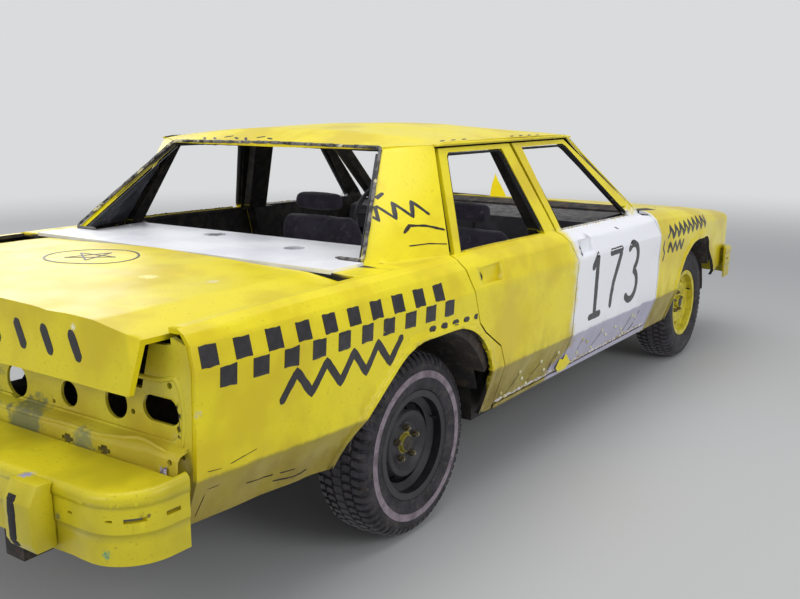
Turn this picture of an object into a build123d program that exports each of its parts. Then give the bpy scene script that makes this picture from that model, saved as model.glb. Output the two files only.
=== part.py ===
from build123d import *
import math
import os

# Four-door demolition derby sedan, millimetres.
# While modelling, X is counted forward from the rear axle, Y to the left and Z up from
# the ground. keep() moves each finished piece so that the origin is under the car's middle.

# Overall sizes
WHEELBASE = 2903
REAR_OVERHANG = 1380    # rear axle to the rear face of the bumper guards
FRONT_OVERHANG = 897    # front axle to the front face of the bumper guards
HALF_WIDTH = 984        # widest place of the doors, from the car's middle
ORIGIN_SHIFT = (REAR_OVERHANG - WHEELBASE - FRONT_OVERHANG) / 2

# Clearances
SEAT = 0.4          # between pieces that are bolted or welded together
RUN = 0.3           # between a turning piece and what carries it
SHUT = 7.0          # gap round doors and lids
TUMBLE_SHUT = 18.0  # shut gap at the roof, where a door swings back before it swings out

# Wheels
TYRE_R = 333
TYRE_W = 215
RIM_FLANGE_R = 197
RIM_SEAT_R = 178
RIM_WELL_R = 152
RIM_W = 186
RIM_WALL = 6
HUB_FACE = 40       # hub face outboard of the wheel's middle plane
HUB_FLANGE_R, HUB_FLANGE_T = 72, 12
HUB_BORE_R = 34     # hole in the middle of the wheel disc
HUB_CAP_R = 28
LUG_HOLES, LUG_PITCH_R, LUG_R = 5, 60, 7.5
REAR_WHEEL_Y = HALF_WIDTH - 197    # the track follows the body's width
FRONT_WHEEL_Y = HALF_WIDTH - 194
KINGPIN_Y = FRONT_WHEEL_Y - 50
FRONT_X = WHEELBASE
AXLE_Z = TYRE_R

# Ends of the sheet metal
BODY_REAR_X = 305 - REAR_OVERHANG
BODY_FRONT_X = FRONT_X + FRONT_OVERHANG - 110

# Body side, one row per cross-section, as insets from the widest place and heights.
# x, sill, lower crease, side crease, shoulder, ledge, belt
BODY_TABLE = [
    (BODY_REAR_X, (86, 455), (39, 587), (26, 873), (39, 935), (59, 962), (84, 975)),
    (BODY_REAR_X + 375, (72, 440), (22, 571), (9, 869), (29, 940), (54, 970), (84, 983)),
    (466, (79, 335), (14, 522), (0, 855), (26, 940), (59, 972), (86, 985)),
    (2120, (79, 318), (14, 496), (0, 836), (29, 915), (62, 944), (94, 957)),
    (FRONT_X + 18, (82, 305), (18, 459), (6, 822), (36, 868), (66, 888), (99, 900)),
    (BODY_FRONT_X, (116, 470), (96, 480), (92, 770), (104, 790), (122, 800), (144, 806)),
]
BODY_SIDE = [(x, *((HALF_WIDTH - inset, z) for inset, z in profile)) for x, *profile in BODY_TABLE]
SKIN = 8            # outer sheet of a door
PANEL = 14          # quarter panel or fender
DOOR_INNER_Y = HALF_WIDTH - 114  # flat inner face of the doors
FRAME_GAP = 8                    # from the doors' inner face to the side frame
FRAME_OUT_Y = DOOR_INNER_Y - FRAME_GAP
FRAME_IN_Y = FRAME_OUT_Y - 62
CABIN_Y = FRAME_IN_Y - SEAT
BEYOND_Y = HALF_WIDTH + 40       # outside everything

# Side windows and roof
BELT_FRAME_Y, BELT_FRAME_Z = HALF_WIDTH - 84, 975    # outer face of the window frames at the belt
ROOF_FRAME_Y, ROOF_FRAME_Z = HALF_WIDTH - 249, 1350  # outer face of the window frames at the roof
FRAME_T = 35        # thickness of a window frame
FRAME_ROOT_Z = 945  # the window frames run down to here inside the doors
CORE_INSET = 38     # door core inside the edge of its outer sheet
GLASS_SLOT = 14     # slot in the door's top edge that the glass came out of

# Doors: corner points in side view, x and z
DOOR_BOTTOM_Z = 355
BELT_LINE_Z = 980
SEAM_BELT_X, SEAM_CREASE_X, SEAM_SILL_X, SEAM_ROOF_X = 1043, 1112, 1090, 918
CREASE_Z = 850
DOOR_FRONT_X = 2150
A_PILLAR_FOOT_X, A_PILLAR_TOP_X = 2050, 1450
A_PILLAR_FOOT_Z = 945
WHEEL_EDGE = [
    (TYRE_R + 167, DOOR_BOTTOM_Z),
    (TYRE_R + 160, AXLE_Z + 190),
    (TYRE_R + 116, AXLE_Z + 280),
    (TYRE_R - 9, AXLE_Z + 360),
    (TYRE_R - 54, AXLE_Z + 403),
    (TYRE_R - 103, AXLE_Z + 532),
]
REAR_DOOR_BELT_X, REAR_DOOR_ROOF_X = 200, 358
SAIL_TOP_X = REAR_DOOR_ROOF_X - TUMBLE_SHUT - 2
# low x, high x, low z, high z, where the lock's hole is
REAR_HANDLE = (288, 438, 868, 930, 305)
FRONT_HANDLE = (1165, 1290, 866, 928, 1182)
HANDLE_DEPTH = 14
LOCK_R = 9

# Wheel openings, seen from the side: corner points from the axle, and how each corner is rounded
ARCH_ROOM = 77      # from the tyre up to the opening
ARCH_TOP_Z = AXLE_Z + TYRE_R + ARCH_ROOM
REAR_ARCH = [(TYRE_R + 65, 100), (TYRE_R + 65, ARCH_TOP_Z), (-150, ARCH_TOP_Z),
             (-TYRE_R - 137, AXLE_Z + 167), (-TYRE_R - 290, 100)]
REAR_ARCH_ROUND = [300, 260, 200]
FRONT_ARCH = [(-TYRE_R - 67, 100), (-TYRE_R - 67, ARCH_TOP_Z - 8), (190, ARCH_TOP_Z - 8),
              (TYRE_R + 100, AXLE_Z + 150), (TYRE_R + 160, 100)]
FRONT_ARCH_ROUND = [310, 280, 200]
LIP_W, LIP_PROUD = 24, 4
REAR_HOUSE_R = TYRE_R + 75
FRONT_HOUSE_R = TYRE_R + 70
HOUSE_T = 8

# Lids
LID_FRONT_X, LID_CREASE_X, LID_TAIL_X = -330, BODY_REAR_X - 75, BODY_REAR_X - 93
LID_HALF = HALF_WIDTH - 124
LID_CREASE_HALF = LID_HALF - 177
LID_TOP_Z, LID_SIDE_Z, LID_EDGE_Z, LID_TAIL_Z = 1000, 985, 959, 812
LID_T = 16
LID_TUCK = 45       # how far the rear face narrows towards its bottom edge
LID_HINGE_Y = 530
HOOD_REAR_X, HOOD_FRONT_X = 2190, BODY_FRONT_X - 50
HOOD_REAR_Z, HOOD_FRONT_Z = 985, 835
HOOD_HALF = HALF_WIDTH - 191
HOOD_T = 20
HOOD_HINGE_Y = HOOD_HALF - 133

# Rear end
TAIL_X = BODY_REAR_X + 13   # front face of the tail panel
TAIL_T = 18
WINDOW_BASE_X, WINDOW_BASE_HALF = -150, HALF_WIDTH - 214
WINDOW_TOP_X, WINDOW_TOP_HALF = 245, HALF_WIDTH - 424
DECK_Z = 985

# Floor and chassis
FLOOR_T = 18
FLOOR_Z, SEAT_PAN_Z, TRUNK_Z = 300, 560, 430
KICK_TOP_X, KICK_FOOT_X = TYRE_R - 33, TYRE_R + 47
FIREWALL_X = DOOR_FRONT_X - 10
FIREWALL_T = 18
RAIL_W, RAIL_H = 80, 90
WHEELHOUSE_Y = REAR_WHEEL_Y - TYRE_W / 2 - 30
RAIL_FRONT_Y, RAIL_MID_Y, RAIL_REAR_Y = KINGPIN_Y - 310, FRAME_IN_Y - 160, WHEELHOUSE_Y - 170
FRONT_RAIL_Z = 430
TIE_DOWN_R, TIE_DOWN_DEPTH = 15, 40
TIE_DOWN_X = (700, 1900)
SUPPORT_X = BODY_FRONT_X - 270


def keep(name, part):
    """Label a finished piece, move it to the car's origin and write it."""
    placed = part.moved(Location((ORIGIN_SHIFT, 0, 0)))
    placed.label = name
    export_step(placed, f"parts/{name}.step")


def keep_pair(name, part):
    """Write the right-hand piece and its mirror image on the left."""
    keep(f"{name}_right", part)
    keep(f"{name}_left", mirror(part, about=Plane.XZ, mode=Mode.PRIVATE))


def rectangle(a_low, a_high, b_low, b_high):
    return [(a_low, b_low), (a_high, b_low), (a_high, b_high), (a_low, b_high)]


def pulled(points, plane, amount):
    """A closed outline of straight lines, pulled out of its plane."""
    with BuildPart() as solid:
        with BuildSketch(plane):
            with BuildLine():
                Polyline(points, close=True)
            make_face()
        extrude(amount=amount)
    return solid.part


def across(points, y_from, y_to):
    """A side-view outline (x, z) pulled across the car's right half, y_from to y_to outward."""
    return pulled(points, Plane.XZ.offset(y_from), y_to - y_from)


def along(points, x_from, x_to):
    """A cross-section (y, z) pulled along the car."""
    return pulled(points, Plane.YZ.offset(x_from), x_to - x_from)


def upward(points, z_from, z_to):
    """A plan outline (x, y) pulled up."""
    return pulled(points, Plane.XY.offset(z_from), z_to - z_from)


def through_sections(sections, plane=Plane.YZ):
    """A straight-sided loft through polygons, each given with its offset from the plane."""
    with BuildPart() as form:
        for offset_by, points in sections:
            with BuildSketch(plane.offset(offset_by)):
                with BuildLine():
                    Polyline(points, close=True)
                make_face()
        loft(ruled=True)
    return form.part


def wheel_cylinder(x, radius, y_from, y_to):
    """A cylinder about an axle, across the car's right half."""
    with BuildPart() as drum:
        with BuildSketch(Plane.XZ.offset(y_from)):
            with Locations((x, AXLE_Z)):
                Circle(radius)
        extrude(amount=y_to - y_from)
    return drum.part


def arch_cutter(axle_x, corners, rounds, grow=0):
    """The wheel opening's outline, moved outward by grow and pulled through the right side."""
    with BuildPart() as cutter:
        with BuildSketch(Plane.XZ.offset(FRAME_IN_Y - 150)):
            with BuildLine():
                edge = FilletPolyline(*[(axle_x + x, z) for x, z in corners], radius=rounds)
                Line(edge @ 1, edge @ 0)
            make_face()
            offset(amount=grow, kind=Kind.INTERSECTION)
        extrude(amount=BEYOND_Y - FRAME_IN_Y + 150)
    return cutter.part


def grown(points, amount):
    """A side-view outline with every edge moved outward by amount, or inward if it is negative."""
    with BuildSketch() as outline:
        with BuildLine():
            Polyline(points, close=True)
        make_face()
        offset(amount=amount, kind=Kind.INTERSECTION)
    corners = outline.face().outer_wire().order_edges()
    return [((edge @ 0).X, (edge @ 0).Y) for edge in corners]


def side_at(x, z):
    """Half-width of the body's outer face at a place on its side."""
    for low, high in zip(BODY_SIDE, BODY_SIDE[1:]):
        if low[0] <= x <= high[0]:
            share = (x - low[0]) / (high[0] - low[0])
            profile = [
                (a[0] + share * (b[0] - a[0]), a[1] + share * (b[1] - a[1]))
                for a, b in zip(low[1:], high[1:])
            ]
            for (y_0, z_0), (y_1, z_1) in zip(profile, profile[1:]):
                if z_0 <= z <= z_1:
                    return y_0 + (y_1 - y_0) * (z - z_0) / (z_1 - z_0)


# The body side as nested layers: every outer panel is a piece of the same surface.
def side_layer(outer_inset, inner_inset, rows=BODY_SIDE):
    sections = []
    for x, *profile in rows:
        outer = [(-(y - outer_inset), z) for y, z in profile]
        inner = [(-(y - inner_inset), z) for y, z in reversed(profile)]
        sections.append((x, outer + inner))
    return through_sections(sections)


def side_core(outer_inset, inner_y):
    sections = []
    for x, *profile in BODY_SIDE[:4]:
        outer = [(-(y - outer_inset), z) for y, z in profile]
        top_z, bottom_z = profile[-1][1], profile[0][1]
        sections.append((x, outer + [(-inner_y, top_z), (-inner_y, bottom_z)]))
    return through_sections(sections)


DOOR_SHEET = side_layer(0, SKIN)
DOOR_CORE = side_core(SKIN / 2, DOOR_INNER_Y)
TUMBLE = (BELT_FRAME_Y - ROOF_FRAME_Y) / (ROOF_FRAME_Z - BELT_FRAME_Z)


def frame_y(z, inset):
    """Half-width at height z of a face that leans in with the side windows."""
    return BELT_FRAME_Y - inset - TUMBLE * (z - BELT_FRAME_Z)


def frame_slab(inset, thickness, z_low, z_high):
    """A slab that leans in with the side windows, its outer face inset from the frames'."""
    section = [
        (-frame_y(z_low, inset), z_low),
        (-frame_y(z_high, inset), z_high),
        (-frame_y(z_high, inset) + thickness, z_high),
        (-frame_y(z_low, inset) + thickness, z_low),
    ]
    return along(section, WINDOW_BASE_X - 150, HOOD_REAR_X + 200)


# Doors: outer sheet, core, window frame, slot for the glass, recess for the handle
def door(lower, frame_outer, window, handle):
    low_x, high_x, low_z, high_z, lock_x = handle
    slot_y = frame_y(BELT_LINE_Z, FRAME_T / 2)
    recess_y = side_at((low_x + high_x) / 2, (low_z + high_z) / 2) - HANDLE_DEPTH
    with BuildPart() as panel:
        add(DOOR_SHEET & across(lower, DOOR_INNER_Y - 90, BEYOND_Y))
        add(DOOR_CORE & across(grown(lower, -CORE_INSET), DOOR_INNER_Y - 5, BEYOND_Y))
        ring = across(frame_outer, ROOF_FRAME_Y - 135, BEYOND_Y) - across(window, ROOF_FRAME_Y - 135, BEYOND_Y)
        add(ring & frame_slab(0, FRAME_T, FRAME_ROOT_Z, ROOF_FRAME_Z))
        sill_x = [x for x, z in window if z < BELT_LINE_Z + 5]
        slot = rectangle(min(sill_x) + 12, max(sill_x) - 12, FRAME_ROOT_Z - 25, BELT_LINE_Z + 30)
        add(across(slot, slot_y - GLASS_SLOT / 2, slot_y + GLASS_SLOT / 2), mode=Mode.SUBTRACT)
        add(across(rectangle(low_x, high_x, low_z, high_z), recess_y, BEYOND_Y), mode=Mode.SUBTRACT)
        with BuildSketch(Plane.XZ.offset(recess_y - 40)):
            with Locations((lock_x, (low_z + high_z) / 2)):
                Circle(LOCK_R)
        extrude(amount=60, mode=Mode.SUBTRACT)
    return panel.part


rear_door_lower = WHEEL_EDGE + [
    (REAR_DOOR_BELT_X, 960),
    (REAR_DOOR_BELT_X, 1040),
    (SEAM_BELT_X, 1040),
    (SEAM_BELT_X, BELT_LINE_Z),
    (SEAM_CREASE_X, CREASE_Z),
    (SEAM_SILL_X, DOOR_BOTTOM_Z),
]
rear_door_frame = [
    (REAR_DOOR_BELT_X + 12, FRAME_ROOT_Z),
    (REAR_DOOR_ROOF_X, ROOF_FRAME_Z - 2),
    (SEAM_ROOF_X - TUMBLE_SHUT / 2, ROOF_FRAME_Z - 2),
    (SEAM_BELT_X - 4, BELT_LINE_Z + 5),
    (SEAM_BELT_X - 4, FRAME_ROOT_Z),
]
rear_window = [
    (REAR_DOOR_BELT_X + 68, BELT_LINE_Z + 1),
    (REAR_DOOR_ROOF_X + 44, ROOF_FRAME_Z - 30),
    (REAR_DOOR_ROOF_X + 62, ROOF_FRAME_Z - 18),
    (SEAM_ROOF_X - 86, ROOF_FRAME_Z - 20),
    (SEAM_BELT_X - 93, BELT_LINE_Z - 4),
]

front_door_lower = [
    (SEAM_SILL_X + SHUT, DOOR_BOTTOM_Z),
    (SEAM_CREASE_X + SHUT, CREASE_Z),
    (SEAM_BELT_X + SHUT, BELT_LINE_Z),
    (SEAM_BELT_X + SHUT, 1040),
    (A_PILLAR_FOOT_X - 20, 1040),
    (A_PILLAR_FOOT_X - 12, A_PILLAR_FOOT_Z + 3),
    (DOOR_FRONT_X - 40, 940),
    (DOOR_FRONT_X, CREASE_Z),
    (DOOR_FRONT_X - 8, DOOR_BOTTOM_Z),
]
PILLAR_LEAN = (A_PILLAR_FOOT_X - A_PILLAR_TOP_X) / (ROOF_FRAME_Z - A_PILLAR_FOOT_Z)
PILLAR_GAP = 12
SEAM_LEAN = (SEAM_CREASE_X - SEAM_BELT_X) / (BELT_LINE_Z - CREASE_Z)
front_door_frame = [
    (SEAM_BELT_X + SEAM_LEAN * (BELT_LINE_Z - FRAME_ROOT_Z) + SHUT + 4, FRAME_ROOT_Z),
    (SEAM_BELT_X + SHUT + 4, BELT_LINE_Z + 5),
    (SEAM_ROOF_X + SHUT + TUMBLE_SHUT / 2, ROOF_FRAME_Z - 2),
    (A_PILLAR_TOP_X - PILLAR_GAP, ROOF_FRAME_Z - 2),
    (A_PILLAR_FOOT_X - PILLAR_GAP - 20, A_PILLAR_FOOT_Z + 6),
    (A_PILLAR_FOOT_X - PILLAR_GAP - 20, FRAME_ROOT_Z),
]
front_window = [
    (SEAM_BELT_X + 60, BELT_LINE_Z - 6),
    (SEAM_ROOF_X + 90, ROOF_FRAME_Z - 20),
    (A_PILLAR_TOP_X - 38, ROOF_FRAME_Z - 20),
    (A_PILLAR_TOP_X - 10, ROOF_FRAME_Z - 32),
    (A_PILLAR_FOOT_X - 170, BELT_LINE_Z - 19),
]

rear_door = door(rear_door_lower, rear_door_frame, rear_window, REAR_HANDLE)
front_door = door(front_door_lower, front_door_frame, front_window, FRONT_HANDLE)


# Roof panel
ROOF_SECTIONS = [
    # x, edge z, crown z
    (WINDOW_TOP_X, ROOF_FRAME_Z + 2, ROOF_FRAME_Z + 8),
    (WINDOW_TOP_X + 175, ROOF_FRAME_Z + 20, ROOF_FRAME_Z + 62),
    (850, ROOF_FRAME_Z + 22, ROOF_FRAME_Z + 76),
    (1200, ROOF_FRAME_Z + 21, ROOF_FRAME_Z + 72),
    (A_PILLAR_TOP_X + 52, ROOF_FRAME_Z + 18, ROOF_FRAME_Z + 44),
]
ROOF_T = 16
ROOF_HALF = ROOF_FRAME_Y - 10
ROOF_EDGE_T = 3


def crowned(raise_top, drop):
    """A loft over the roof sections, between arcs moved up by raise_top and down by drop."""
    with BuildPart() as form:
        for x, edge_z, crown_z in ROOF_SECTIONS:
            top_z, low_z = edge_z + raise_top, edge_z - ROOF_EDGE_T - drop
            with BuildSketch(Plane.YZ.offset(x)):
                with BuildLine():
                    top = ThreePointArc((-ROOF_HALF, top_z), (0, crown_z + raise_top), (ROOF_HALF, top_z))
                    low = ThreePointArc((-ROOF_HALF, low_z), (0, crown_z - ROOF_T - drop), (ROOF_HALF, low_z))
                    Line(top @ 0, low @ 0)
                    Line(top @ 1, low @ 1)
                make_face()
        loft(ruled=True)
    return form.part


roof_space = crowned(60, SEAT)   # what the pieces under the roof are cut to
roof_part = crowned(0, 0) & upward([
    (A_PILLAR_TOP_X + 60, -ROOF_HALF + 20), (A_PILLAR_TOP_X + 60, ROOF_HALF - 20),
    (REAR_DOOR_ROOF_X - 16, ROOF_HALF), (WINDOW_TOP_X, WINDOW_TOP_HALF),
    (WINDOW_TOP_X, -WINDOW_TOP_HALF), (REAR_DOOR_ROOF_X - 16, -ROOF_HALF),
], ROOF_FRAME_Z - 50, ROOF_FRAME_Z + 100)


# Side frame: sill, pillars and roof rail behind the doors
SILL_Z = 300
SILL_TOP_Z = DOOR_BOTTOM_Z - SHUT
ROOF_RAIL_Z = ROOF_FRAME_Z + 6
PLATE_TOP_Z = 975
FRAME_FRONT_X = DOOR_FRONT_X + 80
SIDE_FRAME_OUTLINE = [
    (KICK_FOOT_X + 10, SILL_Z), (FRAME_FRONT_X, SILL_Z), (FRAME_FRONT_X, 880), (DOOR_FRONT_X - 60, 935),
    (DOOR_FRONT_X - 62, PLATE_TOP_Z), (REAR_DOOR_BELT_X, PLATE_TOP_Z), (REAR_DOOR_BELT_X, 400),
]
FRONT_APERTURE = [
    (SEAM_SILL_X + 100, 440), (DOOR_FRONT_X - 65, 440), (DOOR_FRONT_X - 65, 1010), (SEAM_BELT_X + 67, 1010),
    (SEAM_SILL_X + 100, CREASE_Z),
]
REAR_APERTURE = [
    (560, 440), (SEAM_SILL_X - 70, 440), (SEAM_SILL_X - 70, CREASE_Z), (SEAM_BELT_X - 68, 1010),
    (REAR_DOOR_BELT_X + 62, 1010), (350, AXLE_Z + 467), (500, AXLE_Z + 327),
]
HINGE_HEIGHTS = ((560, 600), (760, 800))   # fixed hinge leaves of the doors, low and high z
LEAF_Y = DOOR_INNER_Y + 28

with BuildPart() as side_frame:
    add(across(SIDE_FRAME_OUTLINE, FRAME_IN_Y, FRAME_OUT_Y))
    for aperture in (FRONT_APERTURE, REAR_APERTURE):
        add(across(aperture, FRAME_IN_Y - 10, FRAME_OUT_Y + 10), mode=Mode.SUBTRACT)
    sill = across(rectangle(TYRE_R + 177, DOOR_FRONT_X, SILL_Z - 20, SILL_TOP_Z), FRAME_IN_Y - 10, BEYOND_Y)
    add(side_core(0, FRAME_IN_Y) & sill)
    # hinge pillar, out to the fender
    add(across(rectangle(DOOR_FRONT_X + 10, FRAME_FRONT_X, SILL_Z, 880), FRAME_IN_Y, DOOR_INNER_Y + 15))
    # flange that the fender is bolted to
    flange_y = side_at(DOOR_FRONT_X + 50, HINGE_HEIGHTS[0][0]) - PANEL - SEAT
    flange = rectangle(DOOR_FRONT_X + 15, DOOR_FRONT_X + 50, *HINGE_HEIGHTS[0])
    add(across(flange, DOOR_INNER_Y + 10, flange_y))
    # fixed hinge leaves, up to the doors' cores
    for outline, leaf_x in ((front_door_lower, DOOR_FRONT_X), (rear_door_lower, SEAM_CREASE_X)):
        for low, high in HINGE_HEIGHTS:
            leaf = across(rectangle(leaf_x - 60, leaf_x + 12, low, high), FRAME_OUT_Y - 6, LEAF_Y)
            add(leaf - across(grown(outline, -CORE_INSET + SEAT), FRAME_IN_Y, BEYOND_Y))
    # pillar between the doors
    upper_frame = frame_slab(FRAME_T + FRAME_GAP, 42, PLATE_TOP_Z - 10, ROOF_RAIL_Z + 14)
    pillar = [
        (SEAM_BELT_X - 62, 900),
        (SEAM_ROOF_X - 62, ROOF_RAIL_Z + 10),
        (SEAM_ROOF_X + 66, ROOF_RAIL_Z + 10),
        (SEAM_BELT_X + 66, 900),
    ]
    # rear pillar behind the rear door's frame
    rear_pillar = [
        (REAR_DOOR_BELT_X - 30, 930),
        (SAIL_TOP_X + 6, ROOF_RAIL_Z),
        (REAR_DOOR_ROOF_X + 26, ROOF_RAIL_Z),
        (REAR_DOOR_BELT_X + 40, 930),
    ]
    for outline in (pillar, rear_pillar):
        add(upper_frame & across(outline, ROOF_FRAME_Y - 235, BEYOND_Y))
    # roof rail with its drip edge
    rail = [
        (-ROOF_FRAME_Y - 6, ROOF_RAIL_Z),
        (-ROOF_FRAME_Y - 6, ROOF_RAIL_Z + 6),
        (-ROOF_FRAME_Y + 14, ROOF_RAIL_Z + 10),
        (-ROOF_FRAME_Y + 90, ROOF_RAIL_Z + 10),
        (-ROOF_FRAME_Y + 90, ROOF_RAIL_Z - 32),
        (-ROOF_FRAME_Y + 52, ROOF_RAIL_Z - 32),
        (-ROOF_FRAME_Y + 46, ROOF_RAIL_Z),
    ]
    add(along(rail, SAIL_TOP_X + SEAT, A_PILLAR_TOP_X + 60))
    # windscreen pillar
    foot_z = 880
    foot_x = A_PILLAR_FOOT_X + PILLAR_LEAN * (A_PILLAR_FOOT_Z - foot_z)
    foot = [(foot_x, -BELT_FRAME_Y + 18), (foot_x + 78, -BELT_FRAME_Y + 32),
            (foot_x + 60, -BELT_FRAME_Y + 88), (foot_x - 6, -BELT_FRAME_Y + 82)]
    head = [(A_PILLAR_TOP_X, -ROOF_FRAME_Y + 7), (A_PILLAR_TOP_X + 74, -ROOF_FRAME_Y + 23),
            (A_PILLAR_TOP_X + 62, -ROOF_FRAME_Y + 85), (A_PILLAR_TOP_X - 6, -ROOF_FRAME_Y + 75)]
    add(through_sections([(foot_z, foot), (ROOF_RAIL_Z + 10, head)], Plane.XY))
    add(wheel_cylinder(0, REAR_HOUSE_R + HOUSE_T + SEAT, FRAME_IN_Y - 100, BEYOND_Y), mode=Mode.SUBTRACT)
side_frame_part = side_frame.part - roof_space


# Quarter panel with its roof pillar
def quarter_ring(x, profile):
    belt_y, belt_z = profile[-1]
    flange_y = LID_HALF + SHUT + 1
    outer = [(-y, z) for y, z in profile]
    top = [(-flange_y, belt_z), (-flange_y, belt_z - PANEL), (-(belt_y - 2), belt_z - PANEL)]
    inner = [(-(y - PANEL), z) for y, z in reversed(profile[:-1])]
    return x, outer + top + inner


rear_opening = arch_cutter(0, REAR_ARCH, REAR_ARCH_ROUND)
rear_lip = arch_cutter(0, REAR_ARCH, REAR_ARCH_ROUND, LIP_W) - rear_opening
quarter_outline = rectangle(BODY_REAR_X, TYRE_R + 160, SILL_Z, DECK_Z + 25)
with BuildPart() as quarter:
    add(through_sections([quarter_ring(x, profile) for x, *profile in BODY_SIDE[:4]]))
    lip_rows = [(x, *profile[:3]) for x, *profile in BODY_SIDE[:4]]
    add(side_layer(-LIP_PROUD, PANEL / 2, lip_rows) & rear_lip)
    add(across(quarter_outline, WINDOW_TOP_HALF, BEYOND_Y), mode=Mode.INTERSECT)
    add(across(grown(rear_door_lower, SHUT), WINDOW_TOP_HALF, BEYOND_Y), mode=Mode.SUBTRACT)
    add(rear_opening, mode=Mode.SUBTRACT)
    # deck beside the rear window
    add(upward([
        (LID_FRONT_X + 10, -HALF_WIDTH + 89),
        (LID_FRONT_X + 10, -WINDOW_BASE_HALF),
        (WINDOW_BASE_X, -WINDOW_BASE_HALF),
        (REAR_DOOR_BELT_X - SHUT, -HALF_WIDTH + 116),
        (REAR_DOOR_BELT_X - SHUT, -HALF_WIDTH + 89),
    ], DECK_Z - PANEL, DECK_Z))
    # roof pillar, one bent sheet, carried on above the roof's edge and cut to it
    foot = [(REAR_DOOR_BELT_X - SHUT, -HALF_WIDTH + 88), (WINDOW_BASE_X, -WINDOW_BASE_HALF),
            (WINDOW_BASE_X + 10, -WINDOW_BASE_HALF + 24), (REAR_DOOR_BELT_X - SHUT, -HALF_WIDTH + 112)]
    head = [(SAIL_TOP_X, -ROOF_FRAME_Y + 2), (WINDOW_TOP_X, -WINDOW_TOP_HALF),
            (WINDOW_TOP_X + 20, -WINDOW_TOP_HALF + 20), (SAIL_TOP_X, -ROOF_FRAME_Y + 26)]
    foot_z, head_z = DECK_Z - PANEL / 2, ROOF_SECTIONS[0][1]
    above_z = head_z + 40
    rise = (above_z - foot_z) / (head_z - foot_z)
    above = [(a + (c - a) * rise, b + (d - b) * rise) for (a, b), (c, d) in zip(foot, head)]
    add(through_sections([(foot_z, foot), (above_z, above)], Plane.XY))
    # the roof rail starts here
    rail_space = rectangle(SAIL_TOP_X, SAIL_TOP_X + 60, ROOF_FRAME_Z - 20, above_z + 10)
    add(across(rail_space, WINDOW_TOP_HALF, BEYOND_Y), mode=Mode.SUBTRACT)
quarter_part = quarter.part - roof_space


# Front fender
def fender_ring(x, profile):
    belt_y, belt_z = profile[-1]
    flange_y = HOOD_HALF + SHUT
    outer = [(-y, z) for y, z in profile]
    top = [(-flange_y, belt_z + 8), (-flange_y, belt_z + 8 - PANEL), (-(belt_y - 2), belt_z - PANEL)]
    inner = [(-(y - PANEL), z) for y, z in reversed(profile[:-1])]
    return x, outer + top + inner


FENDER_OUTLINE = [
    (DOOR_FRONT_X - 50, SILL_Z - 10),
    (DOOR_FRONT_X - 50, 905),
    (DOOR_FRONT_X - 10, 930),
    (DOOR_FRONT_X - 10, DECK_Z + 25),
    (BODY_FRONT_X, DECK_Z + 25),
    (BODY_FRONT_X, 600),
    (BODY_FRONT_X - 130, 600),
    (BODY_FRONT_X - 130, 440),
    (FRONT_X + TYRE_R + 67, 440),
    (FRONT_X, SILL_Z - 10),
]
front_opening = arch_cutter(FRONT_X, FRONT_ARCH, FRONT_ARCH_ROUND)
front_lip = arch_cutter(FRONT_X, FRONT_ARCH, FRONT_ARCH_ROUND, LIP_W) - front_opening
with BuildPart() as fender:
    add(through_sections([fender_ring(x, profile) for x, *profile in BODY_SIDE[3:]]))
    lip_rows = [(x, *profile[:3]) for x, *profile in BODY_SIDE[3:]]
    add(side_layer(-LIP_PROUD, PANEL / 2, lip_rows) & front_lip)
    add(across(FENDER_OUTLINE, WINDOW_TOP_HALF, BEYOND_Y), mode=Mode.INTERSECT)
    add(across(grown(front_door_lower, SHUT), WINDOW_TOP_HALF, BEYOND_Y), mode=Mode.SUBTRACT)
    add(front_opening, mode=Mode.SUBTRACT)

# Rear deck with the trunk's hinges
with BuildPart() as rear_deck:
    deck = rectangle(-WINDOW_BASE_HALF + SEAT, WINDOW_BASE_HALF - SEAT, DECK_Z - 4, DECK_Z + 10)
    add(along(deck, LID_FRONT_X + 10, WINDOW_BASE_X))
    for side in (-1, 1):
        block = rectangle(side * LID_HINGE_Y - 30, side * LID_HINGE_Y + 30, DECK_Z - 30, DECK_Z - 3)
        add(along(block, LID_FRONT_X - 25, LID_FRONT_X + 30))

# Parcel shelf and the sheet behind the rear seat
with BuildPart() as rear_shelf:
    shelf_front = KICK_TOP_X - 70
    add(upward([
        (WINDOW_BASE_X + SEAT, -WINDOW_BASE_HALF + 30), (shelf_front, -HALF_WIDTH + 204),
        (shelf_front, HALF_WIDTH - 204), (WINDOW_BASE_X + SEAT, WINDOW_BASE_HALF - 30),
    ], DECK_Z - 20, DECK_Z - 6))
    half = WHEELHOUSE_Y - 20
    sheet = rectangle(-half, half, SEAT_PAN_Z + FLOOR_T + SEAT, DECK_Z - 19)
    add(along(sheet, shelf_front - 18, shelf_front))
    with Locations((40, -300, DECK_Z - 13)):
        Cylinder(40, 40, mode=Mode.SUBTRACT)

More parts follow.
